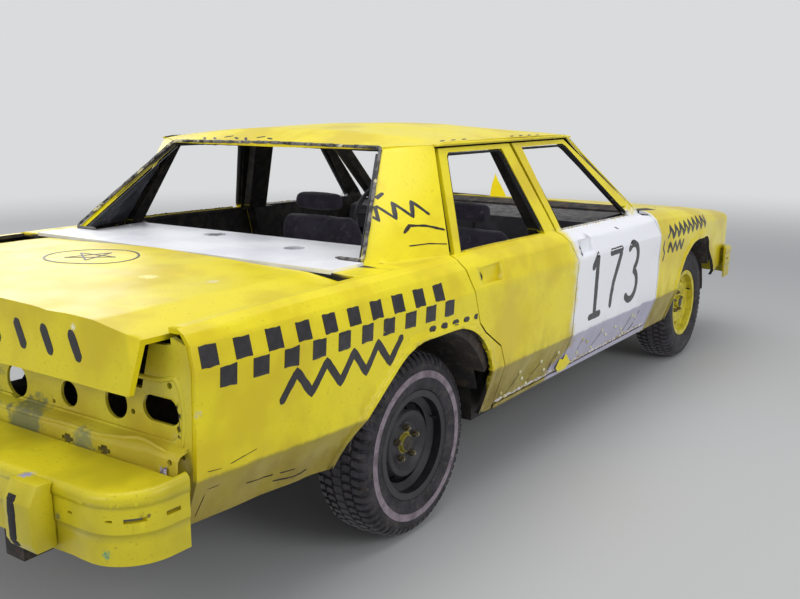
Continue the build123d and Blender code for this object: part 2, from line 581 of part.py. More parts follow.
# Tail panel: dished for the lamps, with a folded shelf above the bumper
LAMP_HOLES = [
    # distance from the widest place, z, radius
    (343, 738, 45), (544, 724, 37), (790, 720, 50),
]
CORNER_HOLE_IN, CORNER_HOLE_Z = 166, 750
DISH_DEPTH = 9
SHELF_SLOTS = (336, 489)   # keyhole slots in the shelf, from the widest place
tail_edge = [(y - PANEL - SEAT, z) for y, z in BODY_SIDE[0][1:5]]
tail_edge += [(LID_HALF + 18, 950), (LID_HALF + 18, LID_EDGE_Z - LID_T - 14)]
tail_edge += [(LID_HALF - 60, LID_EDGE_Z - LID_T - 16), (LID_HALF - 100, 800)]
tail_outline = [(-y, z) for y, z in tail_edge] + [(y, z) for y, z in reversed(tail_edge)]
shelf_half = HALF_WIDTH - 62
tail_back = TAIL_X - TAIL_T
tail_shelf = [
    (tail_back + 2, 672), (tail_back - 30, 664), (tail_back - 42, 650), (tail_back - 46, 608),
    (tail_back - 60, 602), (tail_back - 60, 596), (tail_back - 41, 601), (tail_back - 36, 646),
    (tail_back - 27, 657), (tail_back + 2, 664),
]
with BuildPart() as tail:
    add(along(tail_outline, tail_back, TAIL_X))
    with BuildSketch(Plane.YZ.offset(tail_back)):
        with Locations((0, 735)):
            RectangleRounded(2 * (HALF_WIDTH - 92), 116, 40)
    extrude(amount=DISH_DEPTH, mode=Mode.SUBTRACT)
    add(across(tail_shelf, -shelf_half, shelf_half))
    for side in (-1, 1):
        with BuildSketch(Plane.YZ.offset(tail_back - 1)):
            with Locations((side * (HALF_WIDTH - CORNER_HOLE_IN), CORNER_HOLE_Z)):
                SlotOverall(138, 70)
            for inset, z, radius in LAMP_HOLES:
                with Locations((side * (HALF_WIDTH - inset), z)):
                    Circle(radius)
        extrude(amount=TAIL_T + 2, mode=Mode.SUBTRACT)
        with BuildSketch(Plane.YZ.offset(tail_back - 65)):
            for inset in SHELF_SLOTS:
                with Locations((side * (HALF_WIDTH - inset), 622)):
                    Rectangle(50, 12)
                    Rectangle(24, 26)
        extrude(amount=30, mode=Mode.SUBTRACT)

# Trunk lid: a folded sheet with its corners bent down
lid_low_half = LID_HALF - LID_TUCK
lid_top = [
    (-LID_HALF, LID_EDGE_Z), (-LID_CREASE_HALF, LID_SIDE_Z), (0, LID_TOP_Z),
    (LID_CREASE_HALF, LID_SIDE_Z), (LID_HALF, LID_EDGE_Z),
    (lid_low_half, LID_TAIL_Z - 10), (-lid_low_half, LID_TAIL_Z - 10),
]
lid_side = [
    (LID_FRONT_X, 1010), (LID_FRONT_X, LID_TAIL_Z), (LID_TAIL_X, LID_TAIL_Z), (LID_CREASE_X, 1010),
]
lid_form = along(lid_top, LID_TAIL_X - 30, LID_FRONT_X) & across(lid_side, -LID_HALF - 40, LID_HALF + 40)
trunk_lid = lid_form - lid_form.moved(Location((LID_T, 0, -LID_T)))
rear_deck_part = rear_deck.part - trunk_lid
for lid_gap in ((SHUT, 0, 0), (SHUT / 2, 0, 0), (0, 0, -SEAT)):
    rear_deck_part -= trunk_lid.moved(Location(lid_gap))

# Hood: a crowned sheet
hood_sections = []
for x, z in ((HOOD_REAR_X, HOOD_REAR_Z), (HOOD_FRONT_X, HOOD_FRONT_Z)):
    bend = HOOD_HALF - 293
    top = [(-HOOD_HALF, z - 24), (-bend, z - 4), (0, z), (bend, z - 4), (HOOD_HALF, z - 24)]
    hood_sections.append((x, top + [(y, height - HOOD_T) for y, height in reversed(top)]))
hood = through_sections(hood_sections)

# Floor with its tunnel, kick-up and trunk
TUNNEL_FOOT, TUNNEL_HEAD, TUNNEL_Z = 150, 120, 470
tunnel_space = [
    (-TUNNEL_FOOT, FLOOR_Z), (-TUNNEL_HEAD, TUNNEL_Z), (TUNNEL_HEAD, TUNNEL_Z), (TUNNEL_FOOT, FLOOR_Z),
]
tunnel_back = [
    (TUNNEL_FOOT + FLOOR_T, FLOOR_Z + FLOOR_T), (TUNNEL_HEAD + FLOOR_T, TUNNEL_Z + FLOOR_T),
    (-TUNNEL_HEAD - FLOOR_T, TUNNEL_Z + FLOOR_T), (-TUNNEL_FOOT - FLOOR_T, FLOOR_Z + FLOOR_T),
]
floor_section = [(-CABIN_Y, FLOOR_Z)] + tunnel_space + [(CABIN_Y, FLOOR_Z), (CABIN_Y, FLOOR_Z + FLOOR_T)]
floor_section += tunnel_back + [(-CABIN_Y, FLOOR_Z + FLOOR_T)]
floor_rear_x = TAIL_X + 2
kick_up = [
    (floor_rear_x, TRUNK_Z), (-520, TRUNK_Z), (-400, SEAT_PAN_Z), (KICK_TOP_X, SEAT_PAN_Z),
    (KICK_FOOT_X, FLOOR_Z), (KICK_FOOT_X + 20, FLOOR_Z + FLOOR_T), (KICK_TOP_X + 12, SEAT_PAN_Z + FLOOR_T),
    (-412, SEAT_PAN_Z + FLOOR_T), (-532, TRUNK_Z + FLOOR_T), (floor_rear_x, TRUNK_Z + FLOOR_T),
]
kick_half = WHEELHOUSE_Y - 12
with BuildPart() as floor_pan:
    add(along(floor_section, KICK_FOOT_X, FIREWALL_X))
    add(across(kick_up, -kick_half, kick_half))
    add(along(tunnel_space, KICK_TOP_X - 30, KICK_FOOT_X + 40), mode=Mode.SUBTRACT)
    tunnel_ring = tunnel_space + [(TUNNEL_FOOT + FLOOR_T, FLOOR_Z)] + tunnel_back[1:3]
    tunnel_ring += [(-TUNNEL_FOOT - FLOOR_T, FLOOR_Z)]
    add(along(tunnel_ring, KICK_TOP_X + 12, KICK_FOOT_X + 2))

# Firewall and cowl, with the hood's hinges
COWL_HALF = HOOD_HALF - 9
COWL_X = FIREWALL_X - 30
BELL_R = 150        # hole that the gearbox comes through
with BuildPart() as firewall:
    wall = rectangle(-CABIN_Y, CABIN_Y, FLOOR_Z, 900)
    add(along(wall, FIREWALL_X + SEAT, FIREWALL_X + FIREWALL_T))
    cowl = [(COWL_X, 900), (COWL_X, 955), (HOOD_REAR_X - 10, 975), (HOOD_REAR_X - 10, 900)]
    add(across(cowl, -COWL_HALF, COWL_HALF))
    for side in (-1, 1):
        block = rectangle(side * HOOD_HINGE_Y - 25, side * HOOD_HINGE_Y + 25, 880, HOOD_REAR_Z - 30)
        add(along(block, FIREWALL_X + 20, HOOD_REAR_X + 40))
    bell = [(-BELL_R - 40, 200), (-BELL_R, 510), (BELL_R, 510), (BELL_R + 40, 200)]
    add(along(bell, FIREWALL_X - 10, FIREWALL_X + 25), mode=Mode.SUBTRACT)

# Dashboard, steering column and steering wheel
COLUMN_ANGLE = math.radians(25)
WHEEL_HUB = (1600, 400, 905)
COLUMN_R, COLUMN_LENGTH = 32, 640
STEERING_R, GRIP_R = 182, 13
dash_back = COWL_X - SEAT
dash_profile = [
    (1750, 800), (1770, 925), (1850, 940), (dash_back, 945), (dash_back, 760), (1900, 700), (1790, 740),
]
column_way = (math.cos(COLUMN_ANGLE), 0, -math.sin(COLUMN_ANGLE))
column_plane = Plane(origin=WHEEL_HUB, x_dir=(0, 1, 0), z_dir=column_way)
with BuildPart() as column_space:
    with BuildSketch(column_plane):
        Circle(COLUMN_R + SEAT)
    extrude(amount=COLUMN_LENGTH + 80)
dashboard_part = across(dash_profile, -COWL_HALF + 10, COWL_HALF - 10) - column_space.part
firewall_part = firewall.part - column_space.part
for hood_gap in ((0, 0, -SEAT), (0, 0, 0), (-SHUT, 0, 0), (0, 0, HOOD_T * 0.8)):
    firewall_part -= hood.moved(Location(hood_gap))
with BuildPart() as steering_column:
    with BuildSketch(column_plane.offset(20)):
        Circle(COLUMN_R)
    extrude(amount=COLUMN_LENGTH)
with BuildPart() as steering_wheel:
    with BuildSketch(Plane(origin=WHEEL_HUB, x_dir=column_way, z_dir=(0, 1, 0))):
        with Locations((-20, STEERING_R)):
            Circle(GRIP_R)
    revolve(axis=Axis(WHEEL_HUB, column_way))
    with BuildSketch(column_plane.offset(-30)):
        Circle(45)
    extrude(amount=50 - RUN)
    with BuildSketch(column_plane.offset(-27)):
        for turn in (0, 180, 90):
            with Locations(Rotation(0, 0, turn) * Location((STEERING_R / 2, 0, 0))):
                Rectangle(STEERING_R - 12, 30)
    extrude(amount=14)

# Front seats with their headrests
SEAT_Y, SEAT_HALF, HEADREST_HALF = 425, 250, 125
seat_base = FLOOR_Z + FLOOR_T + SEAT
seat_profile = [
    (1090, seat_base), (1600, seat_base), (1640, 540), (1240, 520),
    (1120, 960), (1115, 1075), (1010, 1075), (1000, 960), (1110, 470),
]
with BuildPart() as front_seats:
    for seat_y in (-SEAT_Y, SEAT_Y):
        add(across(seat_profile, seat_y - SEAT_HALF, seat_y + SEAT_HALF))
        for low, high in ((-SEAT_HALF - 5, -HEADREST_HALF), (HEADREST_HALF, SEAT_HALF + 5)):
            add(across(rectangle(900, 1300, 975, 1100), seat_y + low, seat_y + high), mode=Mode.SUBTRACT)


# Bumpers: bands of one bowed plan outline, each set in by its own amount
BUMPER_T = 16
BUMPER_ROUND = 150      # corner radius in plan
TOP_ROUND = 20
BUMPER_LEDGE = 160      # width of the top ledge
LEDGE_RISE = 12         # how far the ledge rises towards the body
BUMPER_HALF, BUMPER_CORNER_Y = HALF_WIDTH - 24, HALF_WIDTH - 39
# low and high z from the bottom edge, and inset
BANDS = [(0, 82, 6), (82, 152, 3), (152, 182, 0)]
# moulding slots: width, height and places, from the middle on the face and from the end at the sides
FACE_SLOT, FACE_SLOT_Y = (16, 6), (657, 748, 869)
END_SLOT, END_SLOT_IN = (44, 12), (52, 143)
REAR_FACE = -REAR_OVERHANG
FRONT_FACE = FRONT_X + FRONT_OVERHANG
# where the ends, the corners and the bowed middle are in x, and the bottom z
REAR_BAR = (BODY_REAR_X - 30, REAR_FACE + 75, REAR_FACE + 54, 426)
FRONT_BAR = (BODY_FRONT_X - 190, FRONT_FACE - 50, FRONT_FACE - 26, 404)


def bumper_band(bar, inset, low, high, slope_top=None, top_round=0):
    """A solid of the bumper's plan outline, set in and open-ended; its top may slope up to the body."""
    end_x, corner_x, middle_x, bottom_z = bar
    open_x = end_x + (end_x - middle_x)
    with BuildPart() as band:
        with BuildSketch(Plane.XY.offset(bottom_z + low)):
            with BuildLine():
                ends = [(open_x, -BUMPER_HALF), (open_x, BUMPER_HALF)]
                corners = [(corner_x, -BUMPER_CORNER_Y), (corner_x, BUMPER_CORNER_Y)]
                Line(ends[0], corners[0])
                ThreePointArc(corners[0], (middle_x, 0), corners[1])
                Line(corners[1], ends[1])
                Line(ends[1], ends[0])
            make_face()
            fillet([v for v in vertices() if abs(v.X - corner_x) < 1], radius=BUMPER_ROUND)
            offset(amount=-inset)
        extrude(amount=high - low)
        if slope_top:
            slope = LEDGE_RISE / BUMPER_LEDGE
            reach = open_x - middle_x
            top_z = bottom_z + slope_top
            under = [(middle_x, 0), (middle_x, top_z), (open_x, top_z + slope * abs(reach)), (open_x, 0)]
            add(across(under, -BEYOND_Y, BEYOND_Y), mode=Mode.INTERSECT)
        if top_round:
            top_edges = faces().sort_by(Axis.Z)[-1].edges()
            fillet([e for e in top_edges if abs(e.center().X - open_x) > 1], radius=top_round)
    return band.part


def bumper_inner_x(bar, inset, y):
    """Where the inner face of the bowed middle is, y from the car's middle."""
    corner_x, middle_x = bar[1:3]
    bow = abs(corner_x - middle_x)
    bow_r = (BUMPER_CORNER_Y ** 2 + bow ** 2) / (2 * bow)
    inner_r = bow_r - inset - BUMPER_T
    toward = 1 if corner_x > middle_x else -1
    return middle_x + toward * (bow_r - math.sqrt(inner_r ** 2 - y ** 2))


def bumper(bar):
    end_x, corner_x, middle_x, bottom_z = bar
    toward = 1 if end_x > middle_x else -1
    top = BANDS[-1][1]
    above = top + 4 * LEDGE_RISE
    with BuildPart() as shell:
        for low, high, inset in BANDS[:-1]:
            add(bumper_band(bar, inset, low, high))
        add(bumper_band(bar, BANDS[-1][2], BANDS[-1][0], above, top, TOP_ROUND))
        for low, high, inset in BANDS[:-1]:
            add(bumper_band(bar, inset + BUMPER_T, low, high), mode=Mode.SUBTRACT)
        under = bumper_band(bar, BANDS[-1][2] + BUMPER_T, BANDS[-1][0], above, top - BUMPER_T)
        add(under, mode=Mode.SUBTRACT)
        # the top ledge and the ends are open towards the body
        ledge_x = corner_x + toward * BUMPER_LEDGE
        far_x = end_x + toward * 600
        space = bumper_band(bar, BANDS[-1][2] + BUMPER_T, 0, above)
        open_top = upward(rectangle(*sorted((ledge_x, far_x)), -BEYOND_Y, BEYOND_Y), 0, 1000)
        add(space & open_top, mode=Mode.SUBTRACT)
        beyond = rectangle(*sorted((end_x, far_x)), -BEYOND_Y, BEYOND_Y)
        add(upward(beyond, 0, 1000), mode=Mode.SUBTRACT)
        # moulding slots in the middle band
        slot_z = bottom_z + (BANDS[1][0] + BANDS[1][1]) / 2
        with BuildSketch(Plane.YZ.offset(min(corner_x, middle_x) - 30)):
            for y in FACE_SLOT_Y:
                with Locations((y, slot_z), (-y, slot_z)):
                    Rectangle(*FACE_SLOT)
        extrude(amount=abs(corner_x - middle_x) + 100, mode=Mode.SUBTRACT)
        with BuildSketch(Plane.XZ.offset(-BEYOND_Y)):
            with Locations(*[(end_x - toward * inward, slot_z) for inward in END_SLOT_IN]):
                Rectangle(*END_SLOT)
        extrude(amount=2 * BEYOND_Y, mode=Mode.SUBTRACT)
    return shell.part


rear_bumper = bumper(REAR_BAR)
front_bumper = bumper(FRONT_BAR)
GUARD_Y, GUARD_W, GUARD_H = 635, 108, 172
with BuildPart() as guards:
    rear_back = bumper_inner_x(REAR_BAR, 0, GUARD_Y) - BUMPER_T / 2
    rear_low = REAR_BAR[3] + 12
    rear_guard = [
        (rear_back, rear_low), (REAR_FACE + 15, rear_low), (REAR_FACE, rear_low + 24),
        (REAR_FACE, rear_low + 125), (REAR_FACE + 28, rear_low + GUARD_H), (rear_back, rear_low + GUARD_H),
    ]
    front_back = bumper_inner_x(FRONT_BAR, 0, GUARD_Y) + BUMPER_T / 2
    front_low = FRONT_BAR[3] + 4
    front_guard = [
        (front_back, front_low), (FRONT_FACE - 12, front_low), (FRONT_FACE, front_low + 24),
        (FRONT_FACE, front_low + 125), (FRONT_FACE - 18, front_low + GUARD_H), (front_back, front_low + GUARD_H),
    ]
    for side in (-1, 1):
        for profile in (rear_guard, front_guard):
            add(across(profile, side * GUARD_Y - GUARD_W / 2, side * GUARD_Y + GUARD_W / 2))
guards_part = guards.part - rear_bumper - front_bumper

# Chassis frame, from bumper to bumper; the middle rails are pieces of their own
MID_RAIL = (KICK_FOOT_X + 10, FIREWALL_X + 20)
RAIL_PATHS = [
    # x, middle y, top z
    [
        (bumper_inner_x(REAR_BAR, BANDS[0][2], RAIL_REAR_Y + RAIL_W / 2) + SEAT, RAIL_REAR_Y, TRUNK_Z),
        (-520, RAIL_REAR_Y, TRUNK_Z),
        (-400, RAIL_REAR_Y, SEAT_PAN_Z),
        (KICK_TOP_X - 150, RAIL_REAR_Y, SEAT_PAN_Z),
        (KICK_FOOT_X - 6, RAIL_MID_Y, FLOOR_Z),
        (MID_RAIL[0] - SEAT, RAIL_MID_Y, FLOOR_Z),
    ],
    [
        (MID_RAIL[1] + SEAT, RAIL_MID_Y, FLOOR_Z),
        (MID_RAIL[1] + 260, RAIL_FRONT_Y, FRONT_RAIL_Z),
        (bumper_inner_x(FRONT_BAR, BANDS[0][2], RAIL_FRONT_Y + RAIL_W / 2) - SEAT, RAIL_FRONT_Y, FRONT_RAIL_Z),
    ],
]
PLATE_T, PLATE_H = 14, 130   # thickness, and height over the bumper's bottom edge
CROSSMEMBERS = [
    # x, half length, top z
    (BODY_REAR_X + 75, RAIL_REAR_Y, TRUNK_Z),
    (100, RAIL_REAR_Y, SEAT_PAN_Z),
    (BODY_FRONT_X - 190, RAIL_FRONT_Y, FRONT_RAIL_Z),
]
RAIL_ENDS = [
    (REAR_BAR, 1, RAIL_REAR_Y, TRUNK_Z),
    (FRONT_BAR, -1, RAIL_FRONT_Y, FRONT_RAIL_Z),
]
with BuildPart() as chassis:
    for path in RAIL_PATHS:
        sections = []
        for x, y, top_z in path:
            low, high = top_z - SEAT - RAIL_H, top_z - SEAT
            sections.append((x, rectangle(-y - RAIL_W / 2, -y + RAIL_W / 2, low, high)))
        rail_part = through_sections(sections)
        add(rail_part)
        add(mirror(rail_part, about=Plane.XZ, mode=Mode.PRIVATE))
    for x, half, top_z in CROSSMEMBERS:
        add(along(rectangle(-half, half, top_z - SEAT - 60, top_z - SEAT - 10), x - 40, x + 40))
    # plates at the rails' ends, which the bumpers are bolted to
    for bar, toward, rail_y, top_z in RAIL_ENDS:
        start = bumper_inner_x(bar, BANDS[0][2], rail_y + RAIL_W / 2) + toward * SEAT
        for y in (-rail_y, rail_y):
            plate = rectangle(y - RAIL_W / 2, y + RAIL_W / 2, top_z - SEAT - RAIL_H, bar[3] + PLATE_H)
            add(along(plate, *sorted((start, start + toward * PLATE_T))))
RAIL_LOW_Z = FLOOR_Z - SEAT - RAIL_H
with BuildPart() as side_rails:
    for side in (-1, 1):
        y = side * RAIL_MID_Y
        add(along(rectangle(y - RAIL_W / 2, y + RAIL_W / 2, RAIL_LOW_Z, RAIL_LOW_Z + RAIL_H), *MID_RAIL))
    # blind tie-down holes in the undersides
    with BuildSketch(Plane.XY.offset(RAIL_LOW_Z - 1)):
        for x in TIE_DOWN_X:
            with Locations((x, -RAIL_MID_Y), (x, RAIL_MID_Y)):
                Circle(TIE_DOWN_R)
    extrude(amount=TIE_DOWN_DEPTH + 1, mode=Mode.SUBTRACT)


# Wheelhouses
def wheelhouse(x, radius, y_in, y_out, floor_z):
    outer = wheel_cylinder(x, radius + HOUSE_T, y_in, y_out)
    inner = wheel_cylinder(x, radius, y_in + HOUSE_T, y_out + 10)
    upper = across(rectangle(x - 600, x + 600, floor_z, 1000), y_in - 5, y_out + 5)
    return (outer - inner) & upper


APRON_Y = RAIL_FRONT_Y + RAIL_W / 2 + SEAT
APRON_LOW_Z = 350
rear_house = wheelhouse(0, REAR_HOUSE_R, kick_half + SEAT, HALF_WIDTH - 88, SEAT_PAN_Z - 120)
with BuildPart() as front_house:
    add(wheelhouse(FRONT_X, FRONT_HOUSE_R, APRON_Y, HALF_WIDTH - 116, APRON_LOW_Z))
    apron_x = FIREWALL_X + FIREWALL_T + SEAT
    rail_step_x = MID_RAIL[1] + 265
    add(across([
        (rail_step_x, APRON_LOW_Z), (SUPPORT_X, APRON_LOW_Z), (SUPPORT_X, 775), (apron_x, 830),
        (apron_x, FRONT_RAIL_Z + 4), (rail_step_x, FRONT_RAIL_Z + 4),
    ], APRON_Y, APRON_Y + HOUSE_T))
with BuildPart() as rear_wheelhouses:
    add(rear_house)
    add(mirror(rear_house, about=Plane.XZ, mode=Mode.PRIVATE))
with BuildPart() as front_wheelhouses:
    add(front_house.part)
    add(mirror(front_house.part, about=Plane.XZ, mode=Mode.PRIVATE))

# Radiator and its support
LAMP_OUT_Y = HALF_WIDTH - 184
with BuildPart() as radiator:
    add(along(rectangle(-LAMP_OUT_Y, LAMP_OUT_Y, FRONT_RAIL_Z, 790), SUPPORT_X + SEAT, SUPPORT_X + 30))
    add(along(rectangle(-370, 370, 450, 760), SUPPORT_X - 5, SUPPORT_X + 35), mode=Mode.SUBTRACT)
    add(along(rectangle(-372, 372, 448, 762), SUPPORT_X + 5, SUPPORT_X + 25))

# Header panel that held the grille and the lamps
header_half = side_at(BODY_FRONT_X, 600) - PANEL - SEAT
header_edge = [(header_half, 600), (header_half, 765), (HOOD_HALF + 32, 782), (HOOD_HALF, 794)]
header_outline = [(-y, z) for y, z in header_edge] + [(0, 806)] + [(y, z) for y, z in reversed(header_edge)]
with BuildPart() as header:
    add(along(header_outline, HOOD_FRONT_X + 10, BODY_FRONT_X - 4))
    openings = [(-330, 330), (-LAMP_OUT_Y, -400), (400, LAMP_OUT_Y)]
    for low, high in openings:
        add(along(rectangle(low, high, 620, 765), HOOD_FRONT_X, BODY_FRONT_X + 10), mode=Mode.SUBTRACT)

# Engine with its gearbox, driveshaft
ENGINE_X = (FRONT_X - 453, FRONT_X + 177)
GEARBOX_X = FIREWALL_X + 30
with BuildPart() as engine:
    block = [(-150, 340), (150, 340), (260, 620), (200, 780), (-200, 780), (-260, 620)]
    add(along(block, *ENGINE_X))
    add(along([(-120, 330), (120, 330), (140, 460), (-140, 460)], GEARBOX_X, ENGINE_X[0] + 1))
SHAFT_Z, SHAFT_R, PINION_X = 350, 38, 175
with BuildPart() as driveshaft:
    with BuildSketch(Plane.YZ.offset(PINION_X)):
        with Locations((0, SHAFT_Z)):
            Circle(SHAFT_R)
    extrude(amount=GEARBOX_X - SEAT - PINION_X)

# Rear axle with its drums and springs
DRUM_R = 135
with BuildPart() as rear_axle:
    hub_y = REAR_WHEEL_Y + HUB_FACE - RUN
    for radius, reach in ((42, hub_y), (HUB_CAP_R, hub_y + 22)):
        with BuildSketch(Plane.XZ.offset(-reach)):
            with Locations((0, AXLE_Z)):
                Circle(radius)
        extrude(amount=2 * reach)
    with Locations((0, 0, AXLE_Z)):
        Sphere(150)
    with BuildSketch(Plane.YZ.offset(100)):
        with Locations((0, SHAFT_Z)):
            Circle(45)
    extrude(amount=PINION_X - 100 - SEAT)
    drums = ((DRUM_R, -75, 10), (HUB_FLANGE_R, HUB_FACE - RUN - HUB_FLANGE_T, HUB_FACE - RUN))
    for radius, low, high in drums:
        for start in (REAR_WHEEL_Y + low, -REAR_WHEEL_Y - high):
            with BuildSketch(Plane.XZ.offset(start)):
                with Locations((0, AXLE_Z)):
                    Circle(radius)
            extrude(amount=high - low)
    for side in (-1, 1):
        with BuildSketch(Plane.XY.offset(AXLE_Z)):
            with Locations((0, side * RAIL_REAR_Y)):
                Circle(55)
        extrude(amount=SEAT_PAN_Z - 2 * SEAT - RAIL_H - AXLE_Z)

# Front suspension: crossmember and arms
BALL_LOW_Z, BALL_HIGH_Z = AXLE_Z - 102, AXLE_Z + 102
ARM_REACH = 90
with BuildPart() as front_suspension:
    beam = rectangle(-RAIL_FRONT_Y, RAIL_FRONT_Y, AXLE_Z - 123, FRONT_RAIL_Z - 2 * SEAT - RAIL_H)
    add(along(beam, FRONT_X - 60, FRONT_X + 60))
    for side in (-1, 1):
        arms = (
            (BALL_LOW_Z - 26, BALL_LOW_Z - RUN, RAIL_FRONT_Y),
            (BALL_HIGH_Z + RUN, BALL_HIGH_Z + 24, RAIL_FRONT_Y + RAIL_W / 2 + HOUSE_T + 4),
        )
        for low, high, inner_y in arms:
            add(upward([
                (FRONT_X - 26, side * KINGPIN_Y), (FRONT_X - ARM_REACH, side * inner_y),
                (FRONT_X + ARM_REACH, side * inner_y), (FRONT_X + 26, side * KINGPIN_Y),
            ], low, high))
            with Locations((FRONT_X, side * KINGPIN_Y, (low + high) / 2)):
                Cylinder(28, high - low)

# Knuckle with its spindle, brake disc, hub and steering arm
# radius, from and to outboard of the wheel's middle plane
SPINDLE_STEPS = [
    (24, KINGPIN_Y - FRONT_WHEEL_Y, HUB_FACE - RUN),
    (128, -12, 8),
    (HUB_FLANGE_R, HUB_FACE - RUN - HUB_FLANGE_T, HUB_FACE - RUN),
    (HUB_CAP_R, HUB_FACE - RUN, HUB_FACE + 34),
]
with BuildPart() as knuckle:
    with Locations((FRONT_X, -KINGPIN_Y, AXLE_Z)):
        Cylinder(26, BALL_HIGH_Z - BALL_LOW_Z)
    for radius, low, high in SPINDLE_STEPS:
        add(wheel_cylinder(FRONT_X, radius, FRONT_WHEEL_Y + low, FRONT_WHEEL_Y + high))
    arm_z = AXLE_Z - 55
    add(across(rectangle(FRONT_X - 16, FRONT_X + 16, arm_z, arm_z + 24), KINGPIN_Y - 85, KINGPIN_Y))
    add(across(rectangle(FRONT_X - 150, FRONT_X + 16, arm_z, arm_z + 24), KINGPIN_Y - 100, KINGPIN_Y - 78))

# Wheels, as outlines of radius and distance outboard of the wheel's middle plane
half_rim = RIM_W / 2
well_in = RIM_WELL_R - RIM_WALL
RIM_OUTLINE = [
    (RIM_FLANGE_R, half_rim), (RIM_FLANGE_R, half_rim - RIM_WALL), (RIM_SEAT_R + 2, half_rim - 8),
    (RIM_SEAT_R, 54), (RIM_WELL_R, 40), (RIM_WELL_R, -40), (RIM_SEAT_R, -54),
    (RIM_SEAT_R + 2, -half_rim + 8), (RIM_FLANGE_R, -half_rim + RIM_WALL), (RIM_FLANGE_R, -half_rim),
    (RIM_SEAT_R - 5, -half_rim + 2), (RIM_SEAT_R - RIM_WALL, -58), (well_in, -44),
    (well_in, 44), (RIM_SEAT_R - RIM_WALL, 58), (RIM_SEAT_R - 5, half_rim - 2),
]
DISC_OUTLINE = [
    (well_in + 3, 18), (well_in + 3, 28), (118, 62), (100, 64), (HUB_FLANGE_R + 4, HUB_FACE + 8),
    (HUB_BORE_R, HUB_FACE + 8), (HUB_BORE_R, HUB_FACE), (HUB_FLANGE_R + 8, HUB_FACE), (102, 55), (112, 52),
    (well_in - 6, 18),
]
VENTS, VENT_PITCH_R, VENT_R = 10, 131, 8
CARCASS_T = 13


def wheel_plane(x, y):
    return Plane(origin=(x, -y, AXLE_Z), x_dir=(0, 0, 1), z_dir=(1, 0, 0))


def rim(x, y):
    with BuildPart() as wheel:
        for outline in (RIM_OUTLINE, DISC_OUTLINE):
            with BuildSketch(wheel_plane(x, y)):
                with BuildLine():
                    Polyline(outline, close=True)
                make_face()
            revolve(axis=Axis((x, -y, AXLE_Z), (0, 1, 0)))
        with BuildSketch(Plane.XZ.offset(y)):
            with Locations((x, AXLE_Z)):
                with PolarLocations(LUG_PITCH_R - 2, LUG_HOLES, 90):
                    Circle(LUG_R)
                with PolarLocations(VENT_PITCH_R, VENTS, 18):
                    Circle(VENT_R)
        extrude(amount=HUB_FACE + 40, mode=Mode.SUBTRACT)
    return wheel.part


def tyre(x, y):
    """Round sidewalls and a nearly flat tread over a hollow carcass."""
    half = TYRE_W / 2
    seat_r, tread_r = RIM_SEAT_R + 2 + SEAT, TYRE_R - 5
    with BuildPart() as casing:
        with BuildSketch(wheel_plane(x, y)):
            with BuildLine():
                for side in (-1, 1):
                    bead = Polyline(
                        (seat_r, side * (half_rim - 24)), (seat_r, side * (half_rim - 9)),
                        (RIM_FLANGE_R + 1, side * (half_rim - 8)), (RIM_FLANGE_R + 3, side * (half_rim + 2)),
                    )
                    ThreePointArc(bead @ 1, (262, side * half), (tread_r - 12, side * (half - 16)))
                    Line((tread_r - 12, side * (half - 16)), (tread_r, side * (half - 34)))
                    wall = ThreePointArc(
                        bead @ 0, (262, side * (half - CARCASS_T)), (tread_r - 20, side * (half - 34)))
                ThreePointArc((tread_r, -half + 34), (TYRE_R, 0), (tread_r, half - 34))
                Line((tread_r - 20, -half + 34), (tread_r - 20, half - 34))
            make_face()
        revolve(axis=Axis((x, -y, AXLE_Z), (0, 1, 0)))
    return casing.part


# Write every piece
os.makedirs("parts", exist_ok=True)
keep_pair("rear_door", rear_door)
keep_pair("front_door", front_door)
keep_pair("side_frame", side_frame_part)
keep_pair("quarter_panel", quarter_part)
keep_pair("front_fender", fender.part)
keep("roof_panel", roof_part)
keep("rear_deck", rear_deck_part)
keep("rear_shelf", rear_shelf.part)
keep("tail_panel", tail.part)
keep("trunk_lid", trunk_lid)
keep("hood", hood)
keep("floor_pan", floor_pan.part)
keep("firewall", firewall_part)
keep("dashboard", dashboard_part)
keep("steering_column", steering_column.part)
keep("steering_wheel", steering_wheel.part)
keep("front_seats", front_seats.part)
keep("chassis_frame", chassis.part)
keep("side_rails", side_rails.part)
keep("rear_wheelhouses", rear_wheelhouses.part)
keep("front_wheelhouses", front_wheelhouses.part)
keep("radiator", radiator.part)
keep("header_panel", header.part)
keep("rear_bumper", rear_bumper)
keep("front_bumper", front_bumper)
keep("bumper_guards", guards_part)
keep("engine_block", engine.part)
keep("driveshaft", driveshaft.part)
keep("rear_axle", rear_axle.part)
keep("front_suspension", front_suspension.part)
keep_pair("knuckle", knuckle.part)
for place, x, y in (("rear", 0, REAR_WHEEL_Y), ("front", FRONT_X, FRONT_WHEEL_Y)):
    keep_pair(f"{place}_rim", rim(x, y))
    keep_pair(f"{place}_tyre", tyre(x, y))
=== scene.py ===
# Four-door demolition derby sedan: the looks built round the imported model.
# Metres, origin on the ground under the car's middle, X forward, Y to the car's left, Z up.
import math

import bmesh
import bpy
import numpy as np
from mathutils import Matrix, Vector, noise
from mathutils.bvhtree import BVHTree


